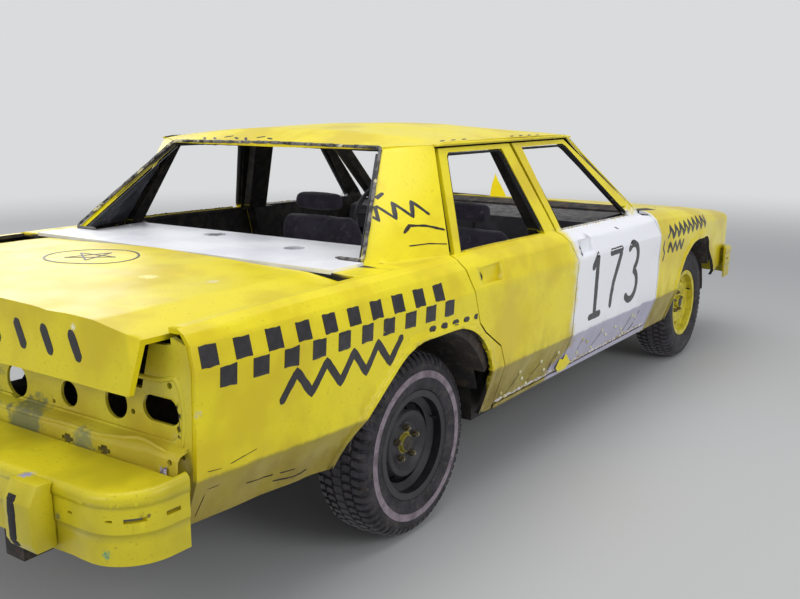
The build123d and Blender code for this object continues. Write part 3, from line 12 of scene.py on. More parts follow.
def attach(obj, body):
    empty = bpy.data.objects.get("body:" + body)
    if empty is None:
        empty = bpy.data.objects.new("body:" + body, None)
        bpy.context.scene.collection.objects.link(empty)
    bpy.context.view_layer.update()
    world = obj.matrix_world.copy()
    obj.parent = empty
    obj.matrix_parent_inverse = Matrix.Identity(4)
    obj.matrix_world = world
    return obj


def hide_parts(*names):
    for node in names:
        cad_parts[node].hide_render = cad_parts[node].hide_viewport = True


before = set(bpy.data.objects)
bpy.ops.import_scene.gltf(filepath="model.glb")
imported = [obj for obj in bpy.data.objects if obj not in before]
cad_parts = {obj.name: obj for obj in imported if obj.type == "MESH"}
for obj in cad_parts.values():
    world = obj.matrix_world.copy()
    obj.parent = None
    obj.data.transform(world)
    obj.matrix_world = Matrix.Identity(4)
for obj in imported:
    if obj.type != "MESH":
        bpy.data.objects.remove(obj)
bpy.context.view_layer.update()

# The viewpoint of the photograph: a compact camera held at eye height beside the car's right
# rear corner, looking along the right side towards the front wheel.
CAMERA_PLACE = (-3.771, -2.594, 1.514)
CAMERA_HEADING, CAMERA_DIP = math.radians(34.8), math.radians(-12.02)
FOCAL_IN_WIDTHS = 924 / 800


def placed(name, data):
    """A new object in the scene, holding the data."""
    holder = bpy.data.objects.new(name, data)
    bpy.context.scene.collection.objects.link(holder)
    return holder


def aimed(holder, place, way):
    """Puts an object at a place, looking along a way."""
    holder.location = place
    holder.rotation_euler = way.to_track_quat("-Z", "Y").to_euler()


camera_data = bpy.data.cameras.new("photo_camera")
camera_data.sensor_fit = "HORIZONTAL"
camera_data.sensor_width = 36
camera_data.lens = 36 * FOCAL_IN_WIDTHS
camera_data.clip_end = 200
camera = placed("photo_camera", camera_data)
aimed(camera, CAMERA_PLACE, Vector((
    math.cos(CAMERA_DIP) * math.cos(CAMERA_HEADING),
    math.cos(CAMERA_DIP) * math.sin(CAMERA_HEADING),
    math.sin(CAMERA_DIP),
)))
bpy.context.scene.camera = camera


# Studio floor and light: a pale seamless paper floor that fades into the backdrop, with broad
# soft lamps overhead and at the sides, so that the enamel shows its own colour.
def linear(hex_colour):
    """An sRGB hex colour as linear RGBA."""
    channels = [int(hex_colour[i:i + 2], 16) / 255 for i in (1, 3, 5)]
    return [c / 12.92 if c <= 0.04045 else ((c + 0.055) / 1.055) ** 2.4 for c in channels] + [1.0]


def add_node(tree, kind, inputs=None, **settings):
    """A node with its settings; each input is a value, or a socket to link from."""
    new = tree.nodes.new(kind)
    for name, value in settings.items():
        setattr(new, name, value)
    for key, value in (inputs or {}).items():
        if isinstance(value, bpy.types.NodeSocket):
            tree.links.new(value, new.inputs[key])
        else:
            new.inputs[key].default_value = value
    return new


def new_material(name):
    """A material, its empty tree, and the socket that gives each point's place on the car."""
    material = bpy.data.materials.new(name)
    material.use_nodes = True
    tree = material.node_tree
    tree.nodes.clear()
    return material, tree, add_node(tree, "ShaderNodeTexCoord").outputs["Object"]


def sum_of(tree, *values, operation="ADD"):
    """Values joined one after another by one Math operation."""
    total = values[0]
    for value in values[1:]:
        total = add_node(tree, "ShaderNodeMath", {0: total, 1: value}, operation=operation).outputs[0]
    return total


def product(tree, *values):
    return sum_of(tree, *values, operation="MULTIPLY")


def largest(tree, *values):
    return sum_of(tree, *values, operation="MAXIMUM")


def length_of(tree, vector):
    return add_node(tree, "ShaderNodeVectorMath", {0: vector}, operation="LENGTH").outputs["Value"]


def ramp(tree, value, low, high):
    """0 at low, 1 at high, smooth between."""
    return add_node(tree, "ShaderNodeMapRange", {
        "Value": value, "From Min": low, "From Max": high}, interpolation_type="SMOOTHSTEP").outputs[0]


def new_piece(name, verts, faces, material, sharp=None):
    """A mesh object from plain points and faces; edges over the sharp angle stay crisp."""
    mesh = bpy.data.meshes.new(name)
    mesh.from_pydata([tuple(v) for v in verts], [], [tuple(f) for f in faces])
    mesh.update()
    piece = placed(name, mesh)
    mesh.materials.append(material)
    if sharp:
        mesh.shade_smooth()
        mesh.set_sharp_from_angle(angle=math.radians(sharp))
    return piece


PAPER, BACKDROP = "#B9BABA", "#DADBDC"
FADE_FROM, FADE_TO = 5.0, 13.0     # metres from the car's middle

floor_paper, tree, place = new_material("seamless_paper_floor")
paper = add_node(tree, "ShaderNodeBsdfPrincipled", {
    "Base Color": linear(PAPER), "Roughness": 0.9, "Specular IOR Level": 0.1})
far_paper = add_node(tree, "ShaderNodeEmission", {"Color": linear(BACKDROP), "Strength": 1.0})
rays = add_node(tree, "ShaderNodeLightPath").outputs
fade = ramp(tree, length_of(tree, place), FADE_FROM, FADE_TO)
mirrored = largest(tree, rays["Is Glossy Ray"], rays["Is Transmission Ray"])
share = largest(tree, mirrored, product(tree, fade, rays["Is Camera Ray"]))
two_papers = add_node(tree, "ShaderNodeMixShader", {0: share, 1: paper.outputs[0], 2: far_paper.outputs[0]})
add_node(tree, "ShaderNodeOutputMaterial", {"Surface": two_papers.outputs[0]})
REACH = 60     # half the floor's width
corners = [(-REACH, -REACH, 0), (REACH, -REACH, 0), (REACH, REACH, 0), (-REACH, REACH, 0)]
floor = new_piece("studio_floor", corners, [(0, 1, 2, 3)], floor_paper)

world = bpy.data.worlds.new("studio")
bpy.context.scene.world = world
world.use_nodes = True
world.node_tree.nodes.clear()
sky_tree = world.node_tree
soft = add_node(sky_tree, "ShaderNodeBackground", {"Color": linear("#F1F3F8"), "Strength": 0.62})
backdrop = add_node(sky_tree, "ShaderNodeBackground", {"Color": linear(BACKDROP), "Strength": 1.0})
sky_rays = add_node(sky_tree, "ShaderNodeLightPath")
sky_mix = add_node(sky_tree, "ShaderNodeMixShader", {
    0: sky_rays.outputs["Is Camera Ray"], 1: soft.outputs[0], 2: backdrop.outputs[0]})
add_node(sky_tree, "ShaderNodeOutputWorld", {"Surface": sky_mix.outputs[0]})

LAMPS = [
    # name, place, aimed at, width, power in watts
    ("overhead_lamp", (-0.8, -0.4, 5.4), (0, 0, 0.9), 5.0, 145),
    ("right_side_lamp", (-1.0, -7.0, 3.4), (0, -0.5, 0.8), 4.0, 128),
    ("rear_lamp", (-7.0, 0.5, 3.2), (-1.5, 0, 0.9), 3.0, 60),
    ("left_side_lamp", (2.0, 7.0, 3.5), (0, 0.5, 0.7), 4.0, 80),
]
for name, place, target, width, power in LAMPS:
    lamp_data = bpy.data.lights.new(name, "AREA")
    lamp_data.shape = "DISK"
    lamp_data.size = width
    lamp_data.energy = power
    aimed(placed(name, lamp_data), place, Vector(target) - Vector(place))
bpy.context.scene.view_settings.view_transform = "Standard"


# Body panels: pressed mild steel sheet, hand-sprayed with bright yellow enamel over old paint.
# The front doors are sprayed white; dust and mud darken the lower side, and below the lower
# crease painted shade darkens the yellow to olive and the white to lavender-grey. Faces that
# look inward keep their old black primer. The car has been hit, so each panel is dented a little.
# the white's lavender-grey below the lower crease is painted shade
YELLOW, YELLOW_DEEP, WHITE, WHITE_PAINTED_SHADE = "#E8D714", "#D6C00C", "#EEEFF4", "#ACA9C0"
# painted shade for the sill side below the lower crease, which faces the ground
PAINTED_SHADE_UNDER_CREASE = "#80701A"     # the sill side below the lower crease, which faces the ground
DIRT, PRIMER, BARE_STEEL = "#6F5F31", "#1B1A1A", "#3A2A20"
WHITE_EDGE = [
    # where the white starts on the front doors: height and place along the car
    (0.30, -0.26), (0.379, -0.234), (0.461, -0.075), (0.56, -0.115), (0.674, -0.107), (1.2, -0.107),
]
WHITE_FRONT_X = 0.944
REAR_AXLE_X, FRONT_AXLE_X, AXLE_HEIGHT = -1.210, 1.693, 0.333
BELT_Z, BELT_HALF_WIDTH, WINDOW_LEAN = 0.975, 0.886, 0.44     # the plane of the window frames' middle


def blend(tree, factor, first, second):
    """Two colours mixed by a factor."""
    mix = add_node(tree, "ShaderNodeMix", {0: factor}, data_type="RGBA")
    for socket, value in ((mix.inputs[6], first), (mix.inputs[7], second)):
        if isinstance(value, bpy.types.NodeSocket):
            tree.links.new(value, socket)
        else:
            socket.default_value = value
    return mix.outputs[2]


def grain(tree, place, size_mm, detail=3.0, stretch=None, roughness=0.55):
    """Noise whose lumps are about size_mm across."""
    if stretch:
        place = add_node(tree, "ShaderNodeMapping", {"Vector": place, "Scale": stretch}).outputs[0]
    return add_node(tree, "ShaderNodeTexNoise", {
        "Vector": place, "Scale": 1000 / size_mm, "Detail": detail, "Roughness": roughness}).outputs[0]


def patch(tree, place, colour, size_mm, detail, low, high, hex_colour, roughness=0.55, share=1.0):
    """Ragged patches of another colour, where the noise passes from low to high."""
    factor = ramp(tree, grain(tree, place, size_mm, detail, roughness=roughness), low, high)
    if share < 1:
        factor = product(tree, factor, share)
    return blend(tree, factor, colour, linear(hex_colour))


def finish(tree, colour, roughness, bump=None, extra=()):
    """The tree's shader and output. The bump is a height, its strength, and its depth in metres."""
    inputs = {"Base Color": colour, "Roughness": roughness, **dict(extra)}
    if bump:
        relief = add_node(tree, "ShaderNodeBump", dict(zip(("Height", "Strength", "Distance"), bump)))
        inputs["Normal"] = relief.outputs[0]
    shader = add_node(tree, "ShaderNodeBsdfPrincipled", inputs)
    add_node(tree, "ShaderNodeOutputMaterial", {"Surface": shader.outputs[0]})


def worn(name, base, patches, roughness, bump=None, extra=()):
    """A material with patches over its base; the bump is a grain's size and detail, strength and depth."""
    material, tree, place = new_material(name)
    colour = linear(base)
    for row in patches:
        colour = patch(tree, place, colour, *row)
    if bump:
        size_mm, detail, strength, depth, *coarse = bump
        bump = (grain(tree, place, size_mm, detail, None, *coarse), strength, depth)
    finish(tree, colour, roughness, bump, extra)
    return material


def smudge(tree, place, centre, radius, ragged=0.6):
    """1 at a place on the car, falling to 0 at a ragged edge about radius away."""
    away = add_node(tree, "ShaderNodeVectorMath", {0: place, 1: centre}, operation="DISTANCE")
    rough = sum_of(tree, grain(tree, place, radius * 350, 5.0, roughness=0.7), -0.5)
    away = sum_of(tree, away.outputs["Value"], product(tree, rough, radius * ragged * 4))
    return ramp(tree, away, radius, radius * 0.45)


def from_axle(tree, x, z, axle_x):
    """The way from an axle's end to each point, seen from the side."""
    return add_node(tree, "ShaderNodeCombineXYZ", {
        0: sum_of(tree, x, -axle_x), 2: sum_of(tree, z, -AXLE_HEIGHT)}).outputs[0]


def white_share(tree, x, z, wide, spray):
    """1 on the front doors below the belt, with sprayed edges at the rear, the front and the top."""
    curve = add_node(tree, "ShaderNodeFloatCurve", {1: z})
    points = curve.mapping.curves[0].points
    curve.mapping.use_clip = False
    for i, (height, edge) in enumerate(WHITE_EDGE):
        if i < 2:
            points[i].location = (height, edge)
        else:
            points.new(height, edge)
    for point in points:
        point.handle_type = "VECTOR"
    curve.mapping.update()
    fuzz = product(tree, spray, 0.16)
    past = sum_of(tree, sum_of(tree, x, curve.outputs[0], operation="SUBTRACT"), fuzz)
    ahead = sum_of(tree, x, product(tree, spray, 0.03))
    front = ramp(tree, ahead, WHITE_FRONT_X + 0.035, WHITE_FRONT_X + 0.008)
    top = ramp(tree, sum_of(tree, z, fuzz), 1.085, 1.045)
    return product(tree, ramp(tree, past, 0.035, 0.125), front, top, ramp(tree, wide, 0.78, 0.80))


def never_sprayed(tree, x, y, z, wide, white):
    """1 on faces that look inward, inside the window frames and pillars, and inside the wheel arches."""
    normal = add_node(tree, "ShaderNodeTexCoord").outputs["Normal"]
    facing = add_node(tree, "ShaderNodeSeparateXYZ", {0: normal}).outputs
    outward = product(tree, add_node(tree, "ShaderNodeMath", {0: y}, operation="SIGN").outputs[0], facing[1])
    hidden = largest(tree, ramp(tree, outward, -0.35, -0.6), ramp(tree, facing[2], -0.55, -0.8))
    if white:
        lean = product(tree, sum_of(tree, z, -BELT_Z), -WINDOW_LEAN)
        depth = sum_of(tree, BELT_HALF_WIDTH, lean, product(tree, wide, -1.0))
        inner = product(tree, ramp(tree, depth, 0.0, 0.004), ramp(tree, z, 0.985, 0.995))
        # and the pillars' inner half below the belt
        post = product(tree, ramp(tree, wide, 0.862, 0.856), ramp(tree, x, 1.20, 1.19),
                       ramp(tree, z, 0.995, 0.985))
        hidden = largest(tree, hidden, inner, post)
    for axle_x in (REAR_AXLE_X, FRONT_AXLE_X):
        away = from_axle(tree, x, z, axle_x)
        to_wheel = add_node(tree, "ShaderNodeVectorMath", {0: away, 1: normal}, operation="DOT_PRODUCT")
        reach = length_of(tree, away)
        near = product(tree, ramp(tree, reach, 0.66, 0.62), ramp(tree, to_wheel.outputs["Value"], -0.25, -0.32),
                       ramp(tree, wide, 0.945, 0.935))
        behind = product(tree, ramp(tree, reach, 0.60, 0.58), ramp(tree, wide, 0.895, 0.885),
                         ramp(tree, z, 0.80, 0.78))
        hidden = largest(tree, hidden, near, behind)
    return hidden


def enamel(name, top_colour, deep_colour, white=False, dirt=1.0, spots=(), hidden_side=True, body_side=False):
    """Sprayed enamel by its place on the car, with smudges of other colours at given spots."""
    material, tree, place = new_material(name)
    x, y, z = add_node(tree, "ShaderNodeSeparateXYZ", {0: place}).outputs
    wide = add_node(tree, "ShaderNodeMath", {0: y}, operation="ABSOLUTE").outputs[0]
    # uneven coats, seen as soft patches about 300 mm across, and speckles of overspray
    colour = patch(tree, place, linear(top_colour), 300, 3.0, 0.40, 0.64, deep_colour)
    colour = patch(tree, place, colour, 9, 2.0, 0.60, 0.74, deep_colour)
    spray = grain(tree, place, 55, 5.0, roughness=0.7)
    if body_side:
        # painted shade: the sill side below the lower crease is darkened; the crease falls toward the front and
        # rises toward the tail
        along = sum_of(tree, x, 0.744)
        slope = largest(tree, product(tree, along, -0.016), product(tree, along, -0.042))
        below = sum_of(tree, z, sum_of(tree, -0.522, product(tree, slope, -1.0)))
        below = ramp(tree, sum_of(tree, below, product(tree, spray, 0.02)), 0.018, 0.004)
        colour = blend(tree, product(tree, below, 0.75), colour, linear(PAINTED_SHADE_UNDER_CREASE))
    if white:
        mask = white_share(tree, x, z, wide, spray)
        # the white turns lavender-grey below the lower crease: painted shade
        colour = blend(tree, mask, colour, blend(tree, below, linear(WHITE), linear(WHITE_PAINTED_SHADE)))
    for centre, radius, hex_colour in spots:
        colour = blend(tree, smudge(tree, place, centre, radius), colour, linear(hex_colour))
    # dust and dried mud: heavier towards the sill, in streaks that run down
    streak = grain(tree, place, 60, 4.0, stretch=(1.0, 1.0, 0.25))
    low = ramp(tree, sum_of(tree, z, product(tree, streak, 0.30)), 0.78, 0.50)
    patchy = ramp(tree, grain(tree, place, 90, 5.0, roughness=0.65), 0.35, 0.70)
    if white:
        low = product(tree, low, sum_of(tree, 1.0, product(tree, mask, 0.75), operation="SUBTRACT"))
    dust = product(tree, low, sum_of(tree, 0.22 * dirt, product(tree, patchy, 0.42 * dirt)))
    colour = blend(tree, dust, colour, linear(DIRT))
    # scratches along the car and chips down to dark steel
    scratch = grain(tree, place, 130, 6.0, stretch=(0.35, 1.0, 3.5), roughness=0.8)
    chip = ramp(tree, grain(tree, place, 38, 5.0, roughness=0.75), 0.75, 0.77)
    bare = largest(tree, ramp(tree, scratch, 0.735, 0.755), chip)
    colour = blend(tree, product(tree, bare, 0.8), colour, linear(BARE_STEEL))
    rough = sum_of(tree, product(tree, grain(tree, place, 120), 0.24), 0.22)
    rough = sum_of(tree, rough, product(tree, dust, 0.5))
    if hidden_side:
        hidden = never_sprayed(tree, x, y, z, wide, white)
        mottle = patch(tree, place, linear(PRIMER), 45, 3.0, 0.4, 0.65, "#34302B")
        colour = blend(tree, hidden, colour, mottle)
        rough = sum_of(tree, rough, product(tree, hidden, 0.3))
    # orange peel about 4 mm across, runs, and hammered waves
    run = grain(tree, place, 30, 2.0, stretch=(1.0, 1.0, 0.4))
    height = sum_of(tree, grain(tree, place, 4, 1.0), product(tree, run, 2.0))
    height = sum_of(tree, height, product(tree, bare, -0.8))
    finish(tree, colour, rough, (height, 0.18, 0.0006), {
        "IOR": 1.5, "Coat Weight": 0.06, "Coat Roughness": 0.2, "Specular IOR Level": 0.36})
    return material


def dress(node, material):
    """A carried-over CAD node takes a material."""
    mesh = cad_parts[node].data
    mesh.materials.clear()
    mesh.materials.append(material)


def loose_form(node, join=0.00002):
    """A CAD node's shape as an editable mesh, with its split corners joined again."""
    form = bmesh.new()
    form.from_mesh(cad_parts[node].data)
    bmesh.ops.remove_doubles(form, verts=form.verts, dist=join)
    bmesh.ops.dissolve_limit(form, angle_limit=math.radians(0.6), verts=form.verts, edges=form.edges)
    return form


def cut_to_grid(form, steps):
    """Evenly spaced cuts across a form, so that it can be dented. A step of 0 leaves an axis alone."""
    for axis, step in enumerate(steps):
        if not step:
            continue
        low = min(v.co[axis] for v in form.verts)
        high = max(v.co[axis] for v in form.verts)
        count = max(1, round((high - low) / step))
        normal = Vector((0, 0, 0))
        normal[axis] = 1
        for i in range(1, count):
            on = Vector((0, 0, 0))
            on[axis] = low + (high - low) * i / count
            everything = form.verts[:] + form.edges[:] + form.faces[:]
            bmesh.ops.bisect_plane(form, geom=everything, dist=1e-6, plane_co=on, plane_no=normal)


def beaten(form, inward, wave, dents, seed, weight):
    """Pushes a form inward: slow waves, and dents of (place, radius, depth)."""
    shift = Vector((seed * 3.7, seed * 1.9, seed * 5.3))
    for v in form.verts:
        share = weight(v.co)
        if share <= 0:
            continue
        swell = 0.5 + 0.5 * noise.noise((v.co + shift) * 3.1) + 0.28 * noise.noise((v.co + shift) * 9.0)
        depth = wave * max(0.0, swell)
        for place, radius, deep in dents:
            away = (v.co - Vector(place)).length / radius
            if away < 2.2:
                ragged = 1 + 0.5 * noise.noise((v.co + shift) * 25)
                depth += deep * ragged * math.exp(-2.2 * away * away)
        v.co += inward * depth * share


def settle(piece, body):
    """The body that the piece rides on."""
    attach(piece, body)


def sheet_piece(name, node, form, material, body, sharp=32):
    """The finished form takes its node's place and rides on its body."""
    mesh = bpy.data.meshes.new(name)
    bmesh.ops.triangulate(form, faces=[f for f in form.faces if len(f.verts) > 4])
    form.to_mesh(mesh)
    form.free()
    mesh.materials.append(material)
    mesh.shade_smooth()
    mesh.set_sharp_from_angle(angle=math.radians(sharp))
    piece = placed(name, mesh)
    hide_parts(node)
    settle(piece, body)
    return piece


def mirrored_form(form):
    """The same form on the other side of the car."""
    copy = form.copy()
    for v in copy.verts:
        v.co.y = -v.co.y
    bmesh.ops.reverse_faces(copy, faces=copy.faces)
    return copy


def outer_skin(place):
    """Only the outer skin of a side panel moves; its inner faces and flanges stay."""
    return min(1.0, max(0.0, (abs(place.y) - 0.872) / 0.04))


side_enamel = enamel("sprayed_yellow_and_white_enamel", YELLOW, YELLOW_DEEP, white=True, body_side=True)
lid_enamel = enamel("sprayed_yellow_enamel", YELLOW, YELLOW_DEEP, dirt=0.0,
                    spots=[((-2.37, -0.60, 0.955), 0.012, "#F4F0D0"), ((-1.9, -0.35, 0.99), 0.035, "#EFE68A"),
                           ((-1.83, -0.55, 0.98), 0.025, "#E5D9A0")])
# the quarter's heavier dust is partly real dirt and partly painted shade on its lower half
quarter_enamel = enamel("sprayed_yellow_enamel_with_dirt_and_painted_shade", YELLOW, YELLOW_DEEP, dirt=1.25, body_side=True,
                        spots=[((-2.279, -0.96, 0.764), 0.017, "#B9AEBB"),
                               ((-2.283, -0.957, 0.741), 0.010, "#8A6A2A")])

SIDE_PANELS = {
    # node: body by side, grid in x and z, wave, dents of place, radius and depth, material
    "quarter_panel": ("body", 0.030, 0.028, 0.0035, [
        ((-2.284, -0.96, 0.765), 0.030, 0.010), ((-2.02, -0.95, 0.50), 0.11, 0.016),
        ((-1.80, -0.95, 0.46), 0.08, 0.018), ((-2.20, -0.95, 0.52), 0.06, 0.008),
        ((-1.52, -0.97, 0.80), 0.20, 0.006), ((-1.92, -0.95, 0.66), 0.14, 0.005),
    ], quarter_enamel),
    "rear_door": ("rear_door", 0.034, 0.030, 0.0040, [
        ((-0.45, -0.95, 0.44), 0.10, 0.010), ((-0.20, -0.95, 0.40), 0.07, 0.012),
        ((-0.62, -0.97, 0.70), 0.16, 0.005),
    ], side_enamel),
    "front_door": ("front_door", 0.034, 0.030, 0.0045, [
        ((0.80, -0.95, 0.46), 0.10, 0.018), ((0.10, -0.95, 0.43), 0.09, 0.010),
        ((0.88, -0.96, 0.72), 0.07, 0.010), ((0.36, -0.97, 0.62), 0.18, 0.006),
    ], side_enamel),
    "front_fender": ("body", 0.034, 0.030, 0.0045, [
        ((1.08, -0.95, 0.78), 0.10, 0.012), ((1.95, -0.93, 0.60), 0.16, 0.014),
    ], side_enamel),
}
SIDES = (("right", -1), ("left", 1))     # the sign of each side's Y
skins = {}
for node, (body, step_x, step_z, wave, dents, material) in SIDE_PANELS.items():
    right = loose_form(f"{node}_right")
    cut_to_grid(right, (step_x, 0, step_z))
    left = mirrored_form(right)
    milder = [((x, 0.95, z), radius, depth * 0.6) for (x, y, z), radius, depth in dents]
    for (side, sign), form, hits, seed in zip(SIDES, (right, left), (dents, milder), (1, 2)):
        beaten(form, Vector((0, -sign, 0)), wave, hits, seed + len(node), outer_skin)
        rides_on = body if body == "body" else f"{body}_{side}"
        skin = sheet_piece(f"{node}_skin_{side}", f"{node}_{side}", form, material, rides_on)
        skins[f"{node}_{side}"] = skin

TOP_PANELS = {
    # node: body, grid in x and y, wave, dents
    "roof_panel": ("body", 0.045, 0.045, 0.0035, [
        ((-0.55, -0.3, 1.41), 0.25, 0.006), ((-0.2, 0.35, 1.41), 0.2, 0.008)]),
    "trunk_lid": ("trunk_lid", 0.034, 0.034, 0.0040, [
        ((-1.85, -0.45, 1.0), 0.22, 0.007), ((-2.2, 0.2, 1.0), 0.25, 0.006),
        ((-2.36, -0.50, 0.965), 0.05, 0.006), ((-1.75, 0.5, 1.0), 0.2, 0.006),
    ]),
    "hood": ("hood", 0.050, 0.050, 0.0070, [
        ((1.7, 0.3, 0.9), 0.3, 0.012), ((1.4, -0.35, 0.93), 0.25, 0.012)]),
}
for node, (body, step_x, step_y, wave, dents) in TOP_PANELS.items():
    form = loose_form(node)
    cut_to_grid(form, (step_x, step_y, 0))
    beaten(form, Vector((0, 0, -1)), wave, dents, len(node), lambda place: 1.0)
    skins[node] = sheet_piece(f"{node}_skin", node, form, lid_enamel, body)

for node in ("side_frame_right", "side_frame_left"):
    dress(node, side_enamel)
dress("header_panel", lid_enamel)


# Rear deck and parcel shelf: the sheet under the rear window and the one behind it, brushed
# with thick white paint, with the yellow of the lid showing at the edge.
WHITE_THICK = "#F1F1F4"
shelf_paint = enamel("brushed_white_enamel", WHITE_THICK, "#E2E3E9", dirt=0.0, spots=[
    # the large blue-grey spot on the parcel shelf is painted shade, standing in for a hole
    ((-1.08, 0.21, 0.99), 0.055, "#3C3B48"), ((-1.30, -0.45, 0.99), 0.010, "#77708A"),
    ((-1.25, -0.60, 0.99), 0.007, "#5D566E"),
])
for node in ("rear_deck", "rear_shelf"):
    dress(node, shelf_paint)


# Tail panel: pressed steel with a sunk band for the lamps, stamped beads and bolt holes.
# Lamps and trim are gone, and the folded edge above the bumper is buckled, with olive-grey painted shade along
# it; its paint is thin.
TAIL_FACE_X = -2.290
BOLT_HOLES = [
    # y, z, radius
    (-0.367, 0.689, 0.007), (-0.708, 0.725, 0.008), (-0.882, 0.711, 0.009), (-0.865, 0.825, 0.009),
    (-0.899, 0.643, 0.008), (-0.902, 0.590, 0.006), (-0.300, 0.79, 0.006), (-0.47, 0.79, 0.006),
    (0.12, 0.70, 0.007),
]
tail_enamel = enamel("thin_yellow_enamel_with_painted_shade_on_tail", "#DCCF3A", "#C9B530", dirt=0.7, spots=[
    # the olive-grey patches along the folded edge above the bumper are painted shade
    ((-2.33, -0.30, 0.63), 0.10, "#8A8A56"), ((-2.33, 0.0, 0.63), 0.16, "#7D8258"),
    ((-2.33, -0.56, 0.625), 0.05, "#9A9A60"), ((-2.30, -0.90, 0.60), 0.02, "#B8ADBB"),
    ((-2.29, -0.87, 0.75), 0.03, "#CDBF5E"),
])


def tube_faces(rings, around, flip=False):
    """The faces of a closed tube: rings of points, joined ring to ring, with both ends capped."""
    faces = []
    for ring in range(rings - 1):
        for k in range(around):
            a, b = ring * around + k, ring * around + (k + 1) % around
            faces.append((a, b, b + around, a + around))
    faces.append(tuple(range(around))[::-1])
    faces.append(tuple((rings - 1) * around + k for k in range(around)))
    return [(face[0],) + face[:0:-1] for face in faces] if flip else faces


def gathered(name, parts, material, sharp=40):
    """Several point-and-face forms as one piece."""
    verts, faces = [], []
    for part_verts, part_faces in parts:
        first = len(verts)
        verts += [tuple(v) for v in part_verts]
        faces += [[first + i for i in face] for face in part_faces]
    return new_piece(name, verts, faces, material, sharp=sharp)


def baked(piece):
    """The piece's mesh with its modifiers applied."""
    bpy.context.view_layer.update()
    return bpy.data.meshes.new_from_object(piece.evaluated_get(bpy.context.evaluated_depsgraph_get()))


shape = placed("tail_work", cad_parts["tail_panel"].data.copy())
DRILL_SIDES = 14
holes = []
for y, z, radius in BOLT_HOLES:
    turns = [2 * math.pi * i / DRILL_SIDES for i in range(DRILL_SIDES)]
    drill = [(x, y + radius * math.cos(turn), z + radius * math.sin(turn))
             for x in (TAIL_FACE_X - 0.05, TAIL_FACE_X + 0.06) for turn in turns]
    holes.append((drill, tube_faces(2, DRILL_SIDES)))
drills = gathered("bolt_hole_drills", holes, tail_enamel, sharp=None)
welded = bmesh.new()
welded.from_mesh(shape.data)
bmesh.ops.remove_doubles(welded, verts=welded.verts, dist=0.00002)
welded.to_mesh(shape.data)
welded.free()
cut = shape.modifiers.new("bolt_holes", "BOOLEAN")
cut.operation = "DIFFERENCE"
cut.object = drills
form = bmesh.new()
form.from_mesh(baked(shape))
bpy.data.objects.remove(shape)
bpy.data.objects.remove(drills)
cut_to_grid(form, (0, 0.030, 0.030))
beaten(form, Vector((1, 0, 0)), 0.0025, [
    ((-2.33, -0.80, 0.63), 0.07, 0.012), ((-2.33, -0.30, 0.63), 0.06, 0.008),
    ((-2.33, 0.35, 0.62), 0.09, 0.012), ((-2.285, -0.91, 0.60), 0.05, 0.010),
], 4, lambda place: 1.0)
skins["tail_panel"] = sheet_piece("tail_panel_skin", "tail_panel", form, tail_enamel, "body", sharp=28)


def surface_of(*pieces):
    """The outer surface of finished pieces, for other pieces to be laid on."""
    verts, faces = [], []
    for piece in pieces:
        first = len(verts)
        verts += [v.co.copy() for v in piece.data.vertices]
        faces += [[first + i for i in face.vertices] for face in piece.data.polygons]
    return BVHTree.FromPolygons(verts, faces)


def rounded(path, radius, steps=4):
    """A path with its inner corners turned into short arcs."""
    path = [Vector(p) for p in path]
    if len(path) < 3:
        return path
    smooth = [path[0]]
    for before, corner, after in zip(path, path[1:], path[2:]):
        back, ahead = before - corner, after - corner
        cut_off = min(radius, back.length * 0.45, ahead.length * 0.45)
        start, end = corner + back.normalized() * cut_off, corner + ahead.normalized() * cut_off
        for i in range(steps + 1):
            t = i / steps
            smooth.append(start * (1 - t) ** 2 + corner * 2 * t * (1 - t) + end * t ** 2)
    smooth.append(path[-1])
    return smooth


def spaced(path, step):
    """Points about a step apart along a path."""
    path = [Vector(p) for p in path]
    result = [path[0]]
    for a, b in zip(path, path[1:]):
        count = max(1, round((b - a).length / step))
        result += [a.lerp(b, i / count) for i in range(1, count + 1)]
    return result


def bead(name, path, width, height, material, normal, sides=8, rough=0.0, step=0.02, seed=0, ends_round=True):
    """A closed rod of oval section along a path, its height along a normal: beads, seals, welds."""
    path = spaced(path, step)
    up = Vector(normal).normalized()
    verts = []
    for i, p in enumerate(path):
        ahead = (path[min(i + 1, len(path) - 1)] - path[max(i - 1, 0)]).normalized()
        across = ahead.cross(up)
        across.normalize()
        lift = across.cross(ahead)
        swell = 1.0
        if rough:
            swell += rough * noise.noise(p * 60 + Vector((seed, 0, 0)))
        if ends_round and i in (0, len(path) - 1):
            swell *= 0.35
        for k in range(sides):
            turn = 2 * math.pi * k / sides
            out = across * (width / 2 * swell * math.cos(turn))
            verts.append(p + out + lift * (height / 2 * swell * math.sin(turn)))
    return new_piece(name, verts, tube_faces(len(path), sides), material, sharp=60)


# stamped beads of the tail panel, half sunk in it
rear_face = surface_of(skins["tail_panel"])


def on_tail(y, z):
    """The point on the tail panel's rear face at y and z."""
    hit = rear_face.ray_cast(Vector((-2.6, y, z)), Vector((1, 0, 0)))[0]
    return hit if hit else Vector((TAIL_FACE_X, y, z))


STAMPED = [
    [(-0.60, 0.830), (-0.833, 0.834), (-0.889, 0.850), (-0.906, 0.816), (-0.914, 0.746), (-0.903, 0.671)],
    [(0.60, 0.830), (0.833, 0.834), (0.889, 0.850), (0.906, 0.816), (0.914, 0.746), (0.903, 0.671)],
    [(-0.88, 0.662), (-0.754, 0.668), (-0.622, 0.655), (-0.483, 0.657), (-0.311, 0.652), (0.0, 0.655),
     (0.311, 0.652), (0.622, 0.657), (0.88, 0.662)],
]
for i, line in enumerate(STAMPED):
    path = [on_tail(p.x, p.y) for p in spaced(rounded([(y, z, 0) for y, z in line], 0.03), 0.02)]
    ridge = bead(f"stamped_bead_{i + 1}", path, 0.014, 0.008, tail_enamel, (-1, 0, 0), rough=0.25, seed=i)
    settle(ridge, "body")


